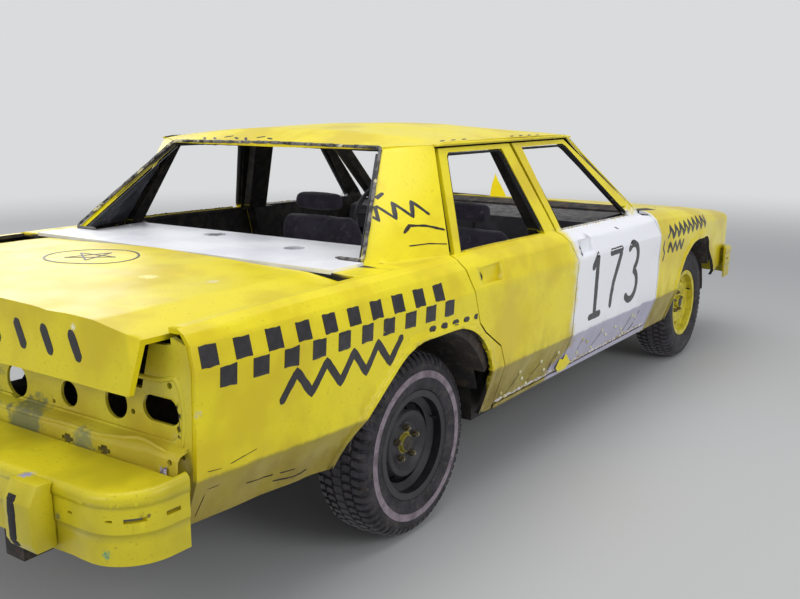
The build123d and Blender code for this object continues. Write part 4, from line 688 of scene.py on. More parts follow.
# torn bracket plate at the right end of the bumper's ledge, bent and bare on one face
bare_plate = worn("scraped_galvanised_plate", "#D5CBDC", [(12, 5.0, 0.42, 0.62, "#8B7F95")], 0.45,
                  extra={"Metallic": 0.4})
TORN_OUTLINE = [
    (0.000, -0.026), (0.012, -0.034), (0.025, -0.030), (0.030, 0.004), (0.026, 0.028), (0.014, 0.020),
    (0.004, 0.024),
]
torn_verts = [(-2.345 + thick + 0.010 * (v / 0.03) ** 2, -0.868 - u, 0.606 + v)
              for thick in (0.0, 0.002) for u, v in TORN_OUTLINE]
torn = new_piece("torn_bracket_plate", torn_verts, tube_faces(2, len(TORN_OUTLINE), flip=True), bare_plate)
settle(torn, "body")


# Bumpers: rolled steel bars with a rounded upper edge, sprayed yellow over chrome, their yellow
# deeper than the body's as painted shade. They have been hit and scraped: teal and grey scuffs,
# and chrome showing through where the paint chipped; the pale lavender-grey patch on the rear
# bumper's top is a painted reflection.
# the bumpers' yellow is deeper than the body's: painted shade
bumper_enamel = enamel("yellow_enamel_over_chrome", "#DACB20", "#BFB01C", dirt=0.3, spots=[
    ((-2.53, -0.67, 0.535), 0.013, "#4FA08A"), ((-2.52, -0.66, 0.50), 0.010, "#7FB5A0"),
    # the pale lavender-grey patch on the top is a painted reflection
    ((-2.51, -0.86, 0.455), 0.016, "#3E9C86"), ((-2.53, -0.60, 0.607), 0.022, "#A7A5C8"),
    ((-2.52, -0.70, 0.52), 0.012, "#8D8B4F"),
    ((-2.43, -0.93, 0.55), 0.008, "#6A5A20"),
], hidden_side=False)
rubber_strip = worn("worn_rubber_strip", "#151417", [(5, 3.0, 0.64, 0.70, "#6C6870")], 0.75,
                    (3, 3.0, 0.4, 0.001))


def eased_edges(node, width, segments=2, angle=30):
    """A CAD node's shape with its edges rounded over, as a new form."""
    form = loose_form(node)
    mesh = bpy.data.meshes.new("edge_work")
    form.to_mesh(mesh)
    form.free()
    source = placed("edge_work", mesh)
    roll = source.modifiers.new("roll", "BEVEL")
    roll.width = width
    roll.segments = segments
    roll.limit_method = "ANGLE"
    roll.angle_limit = math.radians(angle)
    roll.use_clamp_overlap = True
    form = bmesh.new()
    form.from_mesh(baked(source))
    bpy.data.objects.remove(source)
    return form


for node, inward, dents in (
    ("rear_bumper", Vector((1, 0, 0)), [
        ((-2.55, 0.10, 0.52), 0.25, 0.012), ((-2.53, -0.72, 0.46), 0.06, 0.008),
        ((-2.54, -0.40, 0.60), 0.10, 0.006)]),
    ("front_bumper", Vector((-1, 0, 0)), [
        ((2.56, 0.0, 0.50), 0.30, 0.020), ((2.54, -0.75, 0.50), 0.12, 0.012),
        ((2.54, 0.6, 0.50), 0.15, 0.012)]),
):
    form = loose_form(node)
    cut_to_grid(form, (0.040, 0.030, 0.030))
    beaten(form, inward, 0.003, dents, 7, lambda place: min(1.0, max(0.0, (abs(place.x) - 2.30) / 0.1)))
    skins[node] = sheet_piece(f"{node}_skin", node, form, bumper_enamel, "body", sharp=26)

guards = eased_edges("bumper_guards", 0.006)
for v in guards.verts:
    # the faces sit back a little, so that the rubber strips end at the car's full length
    if abs(v.co.x) > 2.58:
        v.co.x -= math.copysign(0.003, v.co.x)
guard_skin = sheet_piece("bumper_guards_skin", "bumper_guards", guards, bumper_enamel, "body", sharp=40)
guard_surface = surface_of(guard_skin)
for end, start_x, way in (("rear", -2.7, 1), ("front", 2.7, -1)):
    for side, sign in SIDES:
        face = []
        for i in range(12):
            start = Vector((start_x, sign * 0.611, 0.446 + 0.012 * i))
            hit = guard_surface.ray_cast(start, Vector((way, 0, 0)))[0]
            if hit:
                face.append(hit + Vector((way * 0.0015, 0, 0)))
        strip = bead(f"guard_strip_{end}_{side}", face, 0.036, 0.008, rubber_strip, (-way, 0, 0),
                     sides=12, rough=0.12, step=0.012, ends_round=False)
        settle(strip, "body")


# Side windows: the glass is gone, and the black flocked channels that guided it are still
# pressed into the door frames, down the front and rear edges and across the top.
seal_rubber = worn("flocked_rubber_channel", "#17161A", [(40, 5.0, 0.66, 0.72, "#A79C2E", 0.7)], 0.8,
                   (2.5, 2.0, 0.3, 0.0008))

FRAME_BELT, FRAME_ROOF = (0.900, 0.975), (0.735, 1.350)   # half-width and height of the leaning frames


def frame_middle(z, inset=0.0175):
    """Half-width of the middle of a window frame at a height."""
    share = (z - FRAME_BELT[1]) / (FRAME_ROOF[1] - FRAME_BELT[1])
    return FRAME_BELT[0] + share * (FRAME_ROOF[0] - FRAME_BELT[0]) - inset


WINDOW_EDGES = {
    # x and z from the foot of the rear edge, over the top, to the foot of the front edge
    "rear_door": [(-0.936, 0.985), (-0.806, 1.314), (-0.790, 1.326), (-0.384, 1.324), (-0.268, 0.985)],
    "front_door": [(-0.101, 0.985), (-0.208, 1.324), (0.196, 1.324), (0.226, 1.312), (0.660, 0.972)],
}
for door, edge in WINDOW_EDGES.items():
    middle_x = sum(x for x, z in edge) / len(edge)
    for side, sign in SIDES:
        for layer, across, width, inset, drawn in (("channel", 0.010, 0.020, 0.0175, 0.004),
                                                   ("lip", 0.006, 0.007, 0.004, 0.001)):
            path = []
            for x, z in edge:
                towards = Vector((middle_x - x, 0, 1.16 - z)).normalized()
                path.append(Vector((x, sign * frame_middle(z, inset), z)) + towards * drawn)
            channel = bead(f"window_{layer}_{door}_{side}", rounded(path, 0.03), across, width, seal_rubber,
                           (0, sign, 0), rough=0.1, step=0.03)
            settle(channel, f"{door}_{side}")


# Rear window: its glass was knocked out, and the grey butyl rubber gasket still hangs on the
# opening's edge, smeared with black sealer and yellow overspray.
gasket_rubber = worn("butyl_gasket_with_sealer", "#6F6B68", [
    (35, 5.0, 0.44, 0.58, "#1E1C1D", 0.7), (60, 5.0, 0.58, 0.66, "#C4BC96")], 0.6, (5, 3.0, 0.5, 0.0015))
OPENING = [
    (-1.345, -0.640, 0.999), (-1.352, -0.748, 0.999), (-1.340, -0.756, 1.010), (-0.975, -0.562, 1.346),
    (-0.962, -0.548, 1.351), (-0.960, 0.0, 1.357), (-0.962, 0.548, 1.351), (-0.975, 0.562, 1.346),
    (-1.340, 0.756, 1.010), (-1.352, 0.748, 0.999), (-1.345, 0.640, 0.999),
]
GLASS_WAY = (-0.7, 0, 0.7)     # out of the leaning rear window
gasket = bead("rear_window_gasket", rounded(OPENING, 0.02), 0.015, 0.012, gasket_rubber, GLASS_WAY, rough=0.35)
settle(gasket, "body")
hanging = [p + Vector((0.010, 0, -0.012)) for p in rounded(OPENING[2:9], 0.02)]
loose_lip = bead("rear_window_loose_lip", hanging, 0.010, 0.005, seal_rubber, GLASS_WAY, sides=6, rough=0.5)
settle(loose_lip, "body")

# Inner trim of the rear roof pillars: a moulded dark grey liner with a raised frame, its cloth
# torn to a lilac backing at the bottom and a pale patch left on it.
liner, tree, place = new_material("moulded_pillar_liner")
liner_colour = patch(tree, place, linear("#2C2D33"), 80, 4.0, 0.45, 0.6, "#43454C")
for centre, radius, ragged, hex_colour in (((-1.215, 0.800, 1.075), 0.075, 0.6, "#A79DB4"),
                                           ((-1.02, 0.690, 1.26), 0.045, 0.6, "#8F8694"),
                                           ((-1.175, 0.79, 1.06), 0.022, 0.2, "#CDBFA6")):
    liner_colour = blend(tree, smudge(tree, place, centre, radius, ragged), liner_colour, linear(hex_colour))
finish(tree, liner_colour, 0.65, (grain(tree, place, 3, 3.0), 0.25, 0.001))
LINER_CORNERS = [
    (-1.335, 0.738, 1.000), (-1.032, 0.846, 1.000), (-0.884, 0.694, 1.335), (-0.972, 0.545, 1.335)]
ACROSS, UP = 16, 14     # the liner's grid
for side, sign in SIDES[::-1]:
    corner = [Vector((x, sign * y, z)) for x, y, z in LINER_CORNERS]
    inward = (corner[1] - corner[0]).cross(corner[3] - corner[0]).normalized() * sign
    verts, faces = [], []
    for thick, lift in ((0.004, 1.0), (0.0, 0.5)):
        for j in range(UP + 1):
            for i in range(ACROSS + 1):
                u, v = i / ACROSS, j / UP
                flat = corner[0].lerp(corner[1], u).lerp(corner[3].lerp(corner[2], u), v)
                band = max(abs(u - 0.5) / 0.5, abs(v - 0.45) / 0.5)
                proud = 0.010 if 0.42 < band < 0.62 else (-0.004 if band <= 0.42 else 0.0)
                verts.append(flat + inward * (thick + 0.010 + proud * lift))
    row = ACROSS + 1
    back = row * (UP + 1)
    for j in range(UP):
        for i in range(ACROSS):
            a = j * row + i
            faces.append((a, a + 1, a + row + 1, a + row))
            faces.append((a + back, a + back + row, a + back + row + 1, a + back + 1))
    rim = list(range(ACROSS)) + [ACROSS + j * row for j in range(UP)]
    rim += [UP * row + ACROSS - i for i in range(ACROSS)] + [(UP - j) * row for j in range(UP)]
    faces += [(a, a + back, b + back, b) for a, b in zip(rim, rim[1:] + rim[:1])]
    settle(new_piece(f"pillar_liner_{side}", verts, faces, liner, sharp=50), "body")


# Drip moulding: a thin folded strip of steel over the doors and down the windscreen pillar,
# sprayed yellow, with a dark gap between it and the door frames.
DRIP = [(-0.868, 0.739, 1.358), (-0.820, 0.744, 1.364), (0.235, 0.744, 1.364), (0.275, 0.736, 1.352),
        (0.815, 0.893, 0.965)]
for side, sign in SIDES:
    path = rounded([(x, sign * y, z) for x, y, z in DRIP], 0.03)
    strip = bead(f"drip_moulding_{side}", path, 0.009, 0.006, side_enamel, (0, sign, 0.3), rough=0.1,
                 step=0.04)
    settle(strip, "body")


# Tyres: black rubber with chunky shoulder lugs, worn and dusty. The rear pair carries a dull
# whitewall ring; the front pair is plain. Cast in one piece, so one closed mesh each.
WHEELS = {
    # place: axle's x, middle plane's distance from the car's middle
    "rear": (REAR_AXLE_X, 0.787), "front": (FRONT_AXLE_X, 0.790),
}
PITCHES = 62
TREAD_DEPTH = 0.010
# outboard half of the tyre's outline, from the bead to the middle of the tread: radius and place
# in millimetres, kind (N plain, W whitewall, S shoulder lug, G groove, M block, C middle), row shift
TYRE_OUTLINE = [
    (181, 84, "N", 0), (197, 85.5, "N", 0), (200.5, 95, "N", 0), (207, 99, "N", 0),
    (210, 97.8, "N", 0), (222, 101, "N", 0), (236, 104, "N", 0), (242.5, 104.8, "N", 0),
    (243.5, 106.0, "W", 0), (268.5, 105.9, "W", 0), (269.5, 104.6, "N", 0), (279, 103.5, "N", 0),
    (291, 100.5, "N", 0), (293, 103.0, "S", 0), (302, 100.0, "S", 0), (312, 94.5, "S", 0),
    (320, 86, "S", 0), (327, 75, "S", 0.1), (329, 60, "S", 0.22), (321, 58.5, "G", 0.22),
    (321.5, 53.5, "G", 0.5), (329.8, 52, "M", 0.5), (331.2, 37, "M", 0.62), (332, 24, "M", 0.5),
    (323.5, 22.5, "G", 0.5), (323.5, 17.5, "G", 0.0), (332.6, 16, "C", 0.0), (333, 0, "C", 0.12),
]
TYRE_INSIDE = [(313, 0), (308, 70), (290, 86), (262, 93), (225, 90), (200, 82), (183, 70)]


def rubber(name, axle_x, dust):
    """Tyre rubber, browned by dust in rings round the axle."""
    material, tree, place = new_material(name)
    x, y, z = add_node(tree, "ShaderNodeSeparateXYZ", {0: place}).outputs
    radius = length_of(tree, from_axle(tree, x, z, axle_x))
    colour = patch(tree, place, linear("#1D1C21"), 70, 5.0, 0.35, 0.7, "#38353B")
    tips = ramp(tree, sum_of(tree, radius, product(tree, grain(tree, place, 20, 4.0), 0.006)), 0.3205, 0.331)
    colour = blend(tree, product(tree, tips, 0.45), colour, linear("#4E4A50"))
    colour = patch(tree, place, colour, 26, 6.0, 0.46, 0.72, "#6E6657", 0.75, dust)
    rings = add_node(tree, "ShaderNodeMath", {0: product(tree, radius, 900.0)}, operation="SINE").outputs[0]
    fine = sum_of(tree, product(tree, rings, 0.15), grain(tree, place, 2.5, 3.0))
    finish(tree, colour, 0.72, (fine, 0.35, 0.0008), {"Specular IOR Level": 0.35})
    return material


whitewall = worn("whitewall_rubber", "#8B7F88", [
    (45, 5.0, 0.38, 0.68, "#6A5E67"), (12, 4.0, 0.62, 0.70, "#4B4046")], 0.8)


def tyre_mesh():
    """Points by turn and place across, for one tyre about the origin, its outboard side at -Y."""
    half = TYRE_OUTLINE
    columns = [(r, -o, kind, shift) for r, o, kind, shift in half]
    columns += [(r, o, kind, shift + 0.5 if kind in "SG" else shift) for r, o, kind, shift in half[-2::-1]]
    columns += [(r, o, "I", 0) for r, o in reversed(TYRE_INSIDE)]
    columns += [(r, -o, "I", 0) for r, o in TYRE_INSIDE[1:]]
    rows = [0.0, 0.56, 0.64, 0.92]
    verts = []
    for pitch in range(PITCHES):
        for which, share in enumerate(rows):
            floor_row = which >= 2
            for r, o, kind, shift in columns:
                turn = 2 * math.pi * (pitch + share + shift) / PITCHES
                depth = 0.0
                if floor_row:
                    depth = {"S": TREAD_DEPTH, "M": TREAD_DEPTH * 0.8, "C": TREAD_DEPTH * 0.35}.get(kind, 0.0)
                lean = max(0.0, min(1.0, (r - 290) / 35)) if abs(o) > 60 else 1.0
                radius = r / 1000 - depth * lean
                out = o / 1000 * (1 - (depth / 0.1) * (1 - lean) * 0.45) if depth else o / 1000
                verts.append((radius * math.sin(turn), out, radius * math.cos(turn)))
    wide = len(columns)
    total = PITCHES * len(rows)
    faces, pale = [], []
    for i in range(total):
        for j in range(wide):
            a, b = i * wide + j, i * wide + (j + 1) % wide
            c, d = ((i + 1) % total) * wide + (j + 1) % wide, ((i + 1) % total) * wide + j
            faces.append((a, b, c, d))
            pale.append(columns[j][2] == "W" and columns[(j + 1) % wide][2] == "W" and columns[j][1] < 0)
    return verts, faces, pale


tyre_points, tyre_faces, tyre_pale = tyre_mesh()
TYRE_RUBBER = {"rear": rubber("worn_tyre_rubber_rear", WHEELS["rear"][0], 0.35),
               "front": rubber("worn_tyre_rubber_front", WHEELS["front"][0], 0.30)}
for place_name, (axle_x, middle_y) in WHEELS.items():
    for side, sign in SIDES:
        points = [(x + axle_x, -sign * (y - middle_y), z + AXLE_HEIGHT) for x, y, z in tyre_points]
        faces = tyre_faces if sign < 0 else [face[::-1] for face in tyre_faces]
        tyre = new_piece(f"{place_name}_lugged_tyre_{side}", points, faces, TYRE_RUBBER[place_name], sharp=35)
        if place_name == "rear":
            tyre.data.materials.append(whitewall)
            for polygon, is_pale in zip(tyre.data.polygons, tyre_pale):
                polygon.material_index = 1 if is_pale else 0
        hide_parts(f"{place_name}_tyre_{side}")
        settle(tyre, f"{place_name}_wheel_{side}")


# Wheels: welded steel rims and discs. The rear pair is black and grimy with rust and stray
# yellow round the hub; the front pair was sprayed yellow. Zinc-plated nuts on studs.
def wheel_paint(name, axle_x, top, deep, hub, hub_radius):
    """Painted wheel steel, with another colour round the hub."""
    material, tree, place = new_material(name)
    x, y, z = add_node(tree, "ShaderNodeSeparateXYZ", {0: place}).outputs
    radius = length_of(tree, from_axle(tree, x, z, axle_x))
    colour = patch(tree, place, linear(top), 50, 5.0, 0.38, 0.66, deep)
    ragged = sum_of(tree, radius, product(tree, grain(tree, place, 22, 5.0, roughness=0.7), 0.030))
    colour = blend(tree, ramp(tree, ragged, hub_radius + 0.018, hub_radius + 0.010), colour, linear(hub))
    # rust, then chalky dust
    colour = patch(tree, place, colour, 16, 6.0, 0.60, 0.72, "#4A3526", 0.75, 0.7)
    colour = patch(tree, place, colour, 9, 6.0, 0.66, 0.74, "#8E8B92", 0.8, 0.5)
    finish(tree, colour, 0.5, (grain(tree, place, 6, 4.0), 0.3, 0.001))
    return material


RIM_PAINT = {
    "rear": wheel_paint("grimy_black_wheel_steel", WHEELS["rear"][0], "#121116", "#1F1D23", "#8E8428", 0.040),
    "front": wheel_paint("yellow_wheel_steel", WHEELS["front"][0], "#D6C933", "#B7A728", "#2A2626", 0.030),
}
nut_steel = worn("zinc_plated_steel", "#8A8468", [(8, 5.0, 0.42, 0.62, "#5B4531")], 0.4,
                 extra={"Metallic": 0.75})


def turned_form(outline, sides=28):
    """A turned form about the Y axis, from an open outline of radius and height, closed at both ends."""
    turns = [2 * math.pi * i / sides for i in range(sides)]
    verts = [(r * math.cos(turn), h, r * math.sin(turn)) for r, h in outline for turn in turns]
    return verts, tube_faces(len(outline), sides, flip=True)


def set_on_side(form, x, y, z, sign):
    """A turned form moved onto one side of the car, pointing outward."""
    verts, faces = form
    moved = [(x + a, sign * (y + b), z + c) for a, b, c in verts]
    return moved, faces if sign > 0 else [face[::-1] for face in faces]


NUT = [(0.0118, 0.0), (0.0118, 0.013), (0.0095, 0.019), (0.0062, 0.019), (0.0062, 0.024), (0.004, 0.025)]
HUB_SLEEVE = {
    "rear": [(0.033, 0.0), (0.034, 0.010), (0.030, 0.0195), (0.025, 0.0205), (0.023, 0.017), (0.010, 0.016)],
    "front": [(0.033, 0.0), (0.033, 0.024), (0.030, 0.031), (0.022, 0.035), (0.006, 0.036)],
}
NUT_FOOT, SLEEVE_FOOT = 0.047, 0.0405     # depths outboard of the wheel's middle
BOLT_CIRCLE = 0.058
for place_name, (axle_x, middle_y) in WHEELS.items():
    for side, sign in SIDES:
        dress(f"{place_name}_rim_{side}", RIM_PAINT[place_name])
        turns = [math.pi / 2 + 2 * math.pi * k / 5 for k in range(5)]
        nuts = gathered(f"lug_nuts_{place_name}_{side}", [set_on_side(
            turned_form(NUT, 6), axle_x + BOLT_CIRCLE * math.cos(turn), middle_y + NUT_FOOT,
            AXLE_HEIGHT + BOLT_CIRCLE * math.sin(turn), sign) for turn in turns], nut_steel)
        sleeve = turned_form(HUB_SLEEVE[place_name], 32)
        sleeve = set_on_side(sleeve, axle_x, middle_y + SLEEVE_FOOT, AXLE_HEIGHT, sign)
        cap = gathered(f"hub_sleeve_{place_name}_{side}", [sleeve], RIM_PAINT[place_name])
        valve = bead(f"valve_stem_{place_name}_{side}", [
            (axle_x + 0.150, sign * (middle_y + 0.055), AXLE_HEIGHT + 0.060),
            (axle_x + 0.144, sign * (middle_y + 0.085), AXLE_HEIGHT + 0.058)],
            0.009, 0.009, seal_rubber, (0, 0, 1), step=0.008)
        for piece, slot in ((nuts, "black_steel"), (cap, "black_steel"), (valve, "tyre")):
            settle(piece, f"{place_name}_wheel_{side}")


# Front seats: foam pads in a grey-purple woven cloth with rounded headrests, left as they were.
# Each pad is inflated as cloth, so that its seams pull in and its faces swell.
SEAT_MIDDLE_Y = 0.425
seat_cloth, tree, place = new_material("woven_seat_cloth")
# threads about 2.5 mm apart, drawn coarser than the real 1 mm so that they show
threads = {"Vector": place, "Scale": 63.0, "Distortion": 0.6}
weave = sum_of(tree, *[add_node(tree, "ShaderNodeTexWave", threads, bands_direction=way).outputs[1]
                       for way in ("DIAGONAL", "Y")])
cloth_colour = patch(tree, place, linear("#4A4454"), 60, 5.0, 0.35, 0.7, "#383340")
cloth_colour = patch(tree, place, cloth_colour, 25, 5.0, 0.56, 0.72, "#6B6270", 0.7)
finish(tree, cloth_colour, 0.92, (weave, 0.35, 0.001), {"Sheen Weight": 0.25, "Sheen Roughness": 0.5})


def pad_form(half_widths, outline):
    """A closed pad: an outline (x, z) carried across the car, drawn in a little at its sides."""
    middle = Vector((sum(x for x, z in outline) / len(outline), 0, sum(z for x, z in outline) / len(outline)))
    verts = []
    for y, inset in half_widths:
        for x, z in outline:
            p = middle + (Vector((x, 0, z)) - middle) * (1 - inset)
            verts.append((p.x, y, p.z))
    return verts, tube_faces(len(half_widths), len(outline))


def inflated(name, form, voxel, pressure, cap):
    """A pad remeshed, inflated as cloth with its movement capped, and smoothed once."""
    pad = new_piece(name, *form, seat_cloth)
    remesh = pad.modifiers.new("remesh", "REMESH")
    remesh.mode = "VOXEL"
    remesh.voxel_size = voxel
    soften = pad.modifiers.new("soften", "SMOOTH")
    soften.factor = 0.5
    soften.iterations = 4
    dense = baked(pad)
    pad.modifiers.clear()
    pad.data = dense
    before = np.array([v.co for v in dense.vertices])
    cloth = pad.modifiers.new("cloth", "CLOTH")
    cloth.settings.use_pressure = True
    cloth.settings.uniform_pressure_force = pressure
    cloth.settings.effector_weights.gravity = 0
    cloth.settings.quality = 4
    cloth.settings.tension_stiffness = 25
    for step in range(1, 21):
        bpy.context.scene.frame_set(step)
    swollen = bpy.data.meshes.new_from_object(pad.evaluated_get(bpy.context.evaluated_depsgraph_get()))
    pad.modifiers.clear()
    bpy.context.scene.frame_set(1)
    move = np.array([v.co for v in swollen.vertices]) - before
    length = np.linalg.norm(move, axis=1, keepdims=True)
    before = before + move * np.minimum(1.0, cap / np.maximum(length, 1e-9))
    pad.data.vertices.foreach_set("co", before.ravel())
    pad.data.update()
    fine = pad.modifiers.new("fine", "SUBSURF")
    fine.levels = fine.render_levels = 1
    finished = baked(pad)
    pad.modifiers.clear()
    pad.data = finished
    pad.data.materials.clear()
    pad.data.materials.append(seat_cloth)
    pad.data.shade_smooth()
    return pad


PADS = {
    # name: half widths with how far the sides draw in, outline of x and z, voxel, cap
    "seat_cushion": ([(-0.238, 0.16), (-0.215, 0.02), (-0.08, 0.0), (0.08, 0.0), (0.215, 0.02), (0.238, 0.16)],
                     [(-0.050, 0.335), (0.375, 0.335), (0.415, 0.420), (0.410, 0.510), (0.360, 0.532),
                      (0.180, 0.512), (0.030, 0.498), (-0.080, 0.488)], 0.014, 0.010),
    "seat_back": ([(-0.236, 0.22), (-0.205, 0.03), (-0.08, 0.0), (0.08, 0.0), (0.205, 0.03), (0.236, 0.22)],
                  [(-0.095, 0.500), (0.015, 0.520), (-0.020, 0.680), (-0.075, 0.900), (-0.105, 0.950),
                   (-0.150, 0.968), (-0.190, 0.950), (-0.200, 0.880), (-0.150, 0.650)], 0.014, 0.010),
    "seat_headrest": ([(-0.128, 0.25), (-0.108, 0.05), (-0.04, 0.0), (0.04, 0.0), (0.108, 0.05), (0.128, 0.25)],
                      [(-0.190, 0.992), (-0.195, 1.035), (-0.180, 1.064), (-0.145, 1.072), (-0.112, 1.062),
                       (-0.100, 1.030), (-0.106, 0.990), (-0.145, 0.982)], 0.009, 0.006),
}
for name, (halves, outline, voxel, cap) in PADS.items():
    pad = inflated(f"{name}_right", pad_form(halves, outline), voxel, 4.0, cap)
    twin = placed(f"{name}_left", pad.data.copy())
    for piece, y in ((pad, -SEAT_MIDDLE_Y), (twin, SEAT_MIDDLE_Y)):
        piece.data.transform(Matrix.Translation((0, y, 0)))
        if name == "seat_cushion":
            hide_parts("front_seats")
        settle(piece, "body")

# headrest posts and the steel seat frames under the cushions, on two runners each
frame_steel = worn("black_lacquered_steel", "#1C1B1D", [(20, 5.0, 0.55, 0.68, "#4A3628")], 0.45)
for side, sign in SIDES:
    for which, shift in (("inner", 0.06), ("outer", -0.06)):
        y, runner_y = sign * SEAT_MIDDLE_Y + shift, sign * SEAT_MIDDLE_Y + shift * 3.0
        post = bead(f"headrest_post_{side}_{which}", [(-0.150, y, 0.945), (-0.150, y, 1.000)], 0.012, 0.012,
                    frame_steel, (1, 0, 0), sides=10)
        runner = bead(f"seat_runner_{side}_{which}", [(-0.08, runner_y, 0.330), (0.37, runner_y, 0.330)],
                      0.035, 0.022, frame_steel, (0, 0, 1), step=0.1)
        for piece in (post, runner):
            settle(piece, "body")


# Dashboard and steering: moulded plastic with a fine leather-like grain, faded and dusty.
trim, tree, place = new_material("moulded_abs_trim")
cells = add_node(tree, "ShaderNodeTexVoronoi", {"Vector": place, "Scale": 330.0})
trim_colour = patch(tree, place, linear("#26262A"), 120, 5.0, 0.4, 0.66, "#3B3A40")
normal = add_node(tree, "ShaderNodeTexCoord").outputs["Normal"]
upward = add_node(tree, "ShaderNodeSeparateXYZ", {0: normal}).outputs[2]
powder = ramp(tree, grain(tree, place, 35, 5.0), 0.35, 0.7)
settled = product(tree, ramp(tree, upward, 0.4, 0.95), powder, 0.5)
finish(tree, blend(tree, settled, trim_colour, linear("#7E7A70")), 0.6, (cells.outputs[0], 0.2, 0.0008))
for node in ("dashboard", "steering_column", "steering_wheel"):
    dress(node, trim)


# Floor, firewall and wheelhouses: bare pressings in old black primer, with rust, caked mud on
# the side that the tyres throw at, and yellow overspray near the wheel openings.
def old_primer(name, mud, overspray_share):
    """Primer with rust patches and mud; the share of overspray is from 0 to 1."""
    return worn(name, "#201E1F", [
        (110, 5.0, 0.4, 0.62, "#36302C"),
        (60, 6.0, 0.54, 0.68, "#54301F", 0.72, 0.75),
        (45, 6.0, 0.48, 0.66, "#6A5D4B", 0.7, mud),
        (80, 6.0, 0.60, 0.72, "#B7A930", 0.8, overspray_share),
    ], 0.82, (12, 6.0, 0.5, 0.003, 0.7))


floor_primer = old_primer("primed_floor_pressing", 0.45, 0.15)
for node in ("floor_pan", "firewall", "rear_wheelhouses", "front_wheelhouses"):
    dress(node, floor_primer)

# splash flanges: bent strips that close the gap from each wheelhouse to its outer panel, with a
# rim turned up behind the arch's edge
FLANGES = (
    # end, panel, radius, inner and outer edge's half-width, height of the panel's widest line
    ("rear", "quarter_panel", 0.4085, 0.886, 0.968, 0.855),
    ("front", "front_fender", 0.4035, 0.858, 0.962, 0.822),
)
THICK, RIM, CLEAR, STEPS = 0.003, 0.075, 0.008, 44     # the sheet, its turned-up rim, the gap to the panel
for place_name, panel, radius, y_in, y_top, top_z in FLANGES:
    axle_x = WHEELS[place_name][0]
    for side, sign in SIDES:
        panel_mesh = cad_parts[f"{panel}_{side}"].data
        outer_panel = BVHTree.FromPolygons([v.co for v in panel_mesh.vertices],
                                           [p.vertices for p in panel_mesh.polygons])
        verts = []
        for i in range(STEPS + 1):
            turn = math.radians(28 + 124 * i / STEPS)
            y_out = y_top - 0.038 * (top_z - AXLE_HEIGHT - radius * math.sin(turn))
            for reach in (0.0, 0.025, 0.05, RIM):
                start = Vector((axle_x + (radius + reach) * math.cos(turn), sign * 0.80,
                                AXLE_HEIGHT + (radius + reach) * math.sin(turn)))
                hit = outer_panel.ray_cast(start, Vector((0, sign, 0)))[0]
                if hit:
                    y_out = max(y_in + 0.004, min(y_out, abs(hit.y) - CLEAR))
            for r, y in ((radius, y_in), (radius, y_out), (radius + RIM, y_out), (radius + RIM, y_out - THICK),
                         (radius + THICK, y_out - THICK), (radius + THICK, y_in)):
                verts.append((axle_x + r * math.cos(turn), sign * y, AXLE_HEIGHT + r * math.sin(turn)))
        faces = tube_faces(STEPS + 1, 6)
        if sign < 0:
            faces = [face[::-1] for face in faces]
        flange = new_piece(f"splash_flange_{place_name}_{side}", verts, faces, floor_primer, sharp=40)
        settle(flange, "body")


# Chassis and running gear: welded box rails, axle, arms and knuckles in dull black chassis
# paint, rusting through, and greasy where they turn.
chassis_paint = old_primer("rusty_chassis_paint", 0.35, 0.0)
for node in ("chassis_frame", "side_rails", "driveshaft", "rear_axle", "front_suspension", "knuckle_right",
             "knuckle_left"):
    dress(node, chassis_paint)


# Engine with its gearbox: one rough iron and aluminium casting, oily and dusty.
dress("engine_block", worn("sand_cast_iron", "#4A4643", [
    (90, 5.0, 0.4, 0.6, "#2C2826"), (40, 6.0, 0.56, 0.7, "#6B4A33", 0.7),
], 0.7, (3, 4.0, 0.6, 0.0015), {"Metallic": 0.25}))


# Radiator: a core of thin aluminium fins 3 mm apart between tubes, in a steel support.
core_fins, tree, place = new_material("finned_aluminium_core")
fins = add_node(tree, "ShaderNodeTexWave", {
    "Vector": place, "Scale": 52.0, "Distortion": 0.2}, bands_direction="Z")
tubes = add_node(tree, "ShaderNodeTexWave", {
    "Vector": place, "Scale": 15.7, "Distortion": 0.0}, bands_direction="Y")
core_colour = blend(tree, ramp(tree, tubes.outputs[1], 0.35, 0.6), linear("#2B2B2C"), linear("#5A5A5B"))
core_colour = blend(tree, product(tree, fins.outputs[1], 0.5), core_colour, linear("#77777A"))
finish(tree, core_colour, 0.5, (fins.outputs[1], 0.5, 0.001), {"Metallic": 0.6})
dress("radiator", core_fins)


# Brushed marks: plain hand-painted bands, flashes and a race number in black enamel, laid on
# with a flat brush, so that each stroke has soft ends, uneven edges and a slight thickness.
mark_paint, tree, place = new_material("brushed_black_enamel")
finish(tree, patch(tree, place, linear("#121013"), 30, 5.0, 0.4, 0.7, "#262128"), 0.35,
       (grain(tree, place, 6, 2.0, stretch=(0.3, 1.0, 1.0)), 0.2, 0.0005))

# how each side of the car is looked at: where a ray starts for a mark's place (u, v), and its way
LOOKS = {
    "right": (lambda u, v: Vector((u, -1.3, v)), Vector((0, 1, 0))),
    "left": (lambda u, v: Vector((u, 1.3, v)), Vector((0, -1, 0))),
    "rear": (lambda u, v: Vector((-2.9, u, v)), Vector((1, 0, 0))),
    "top": (lambda u, v: Vector((u, v, 1.8)), Vector((0, 0, -1))),
}


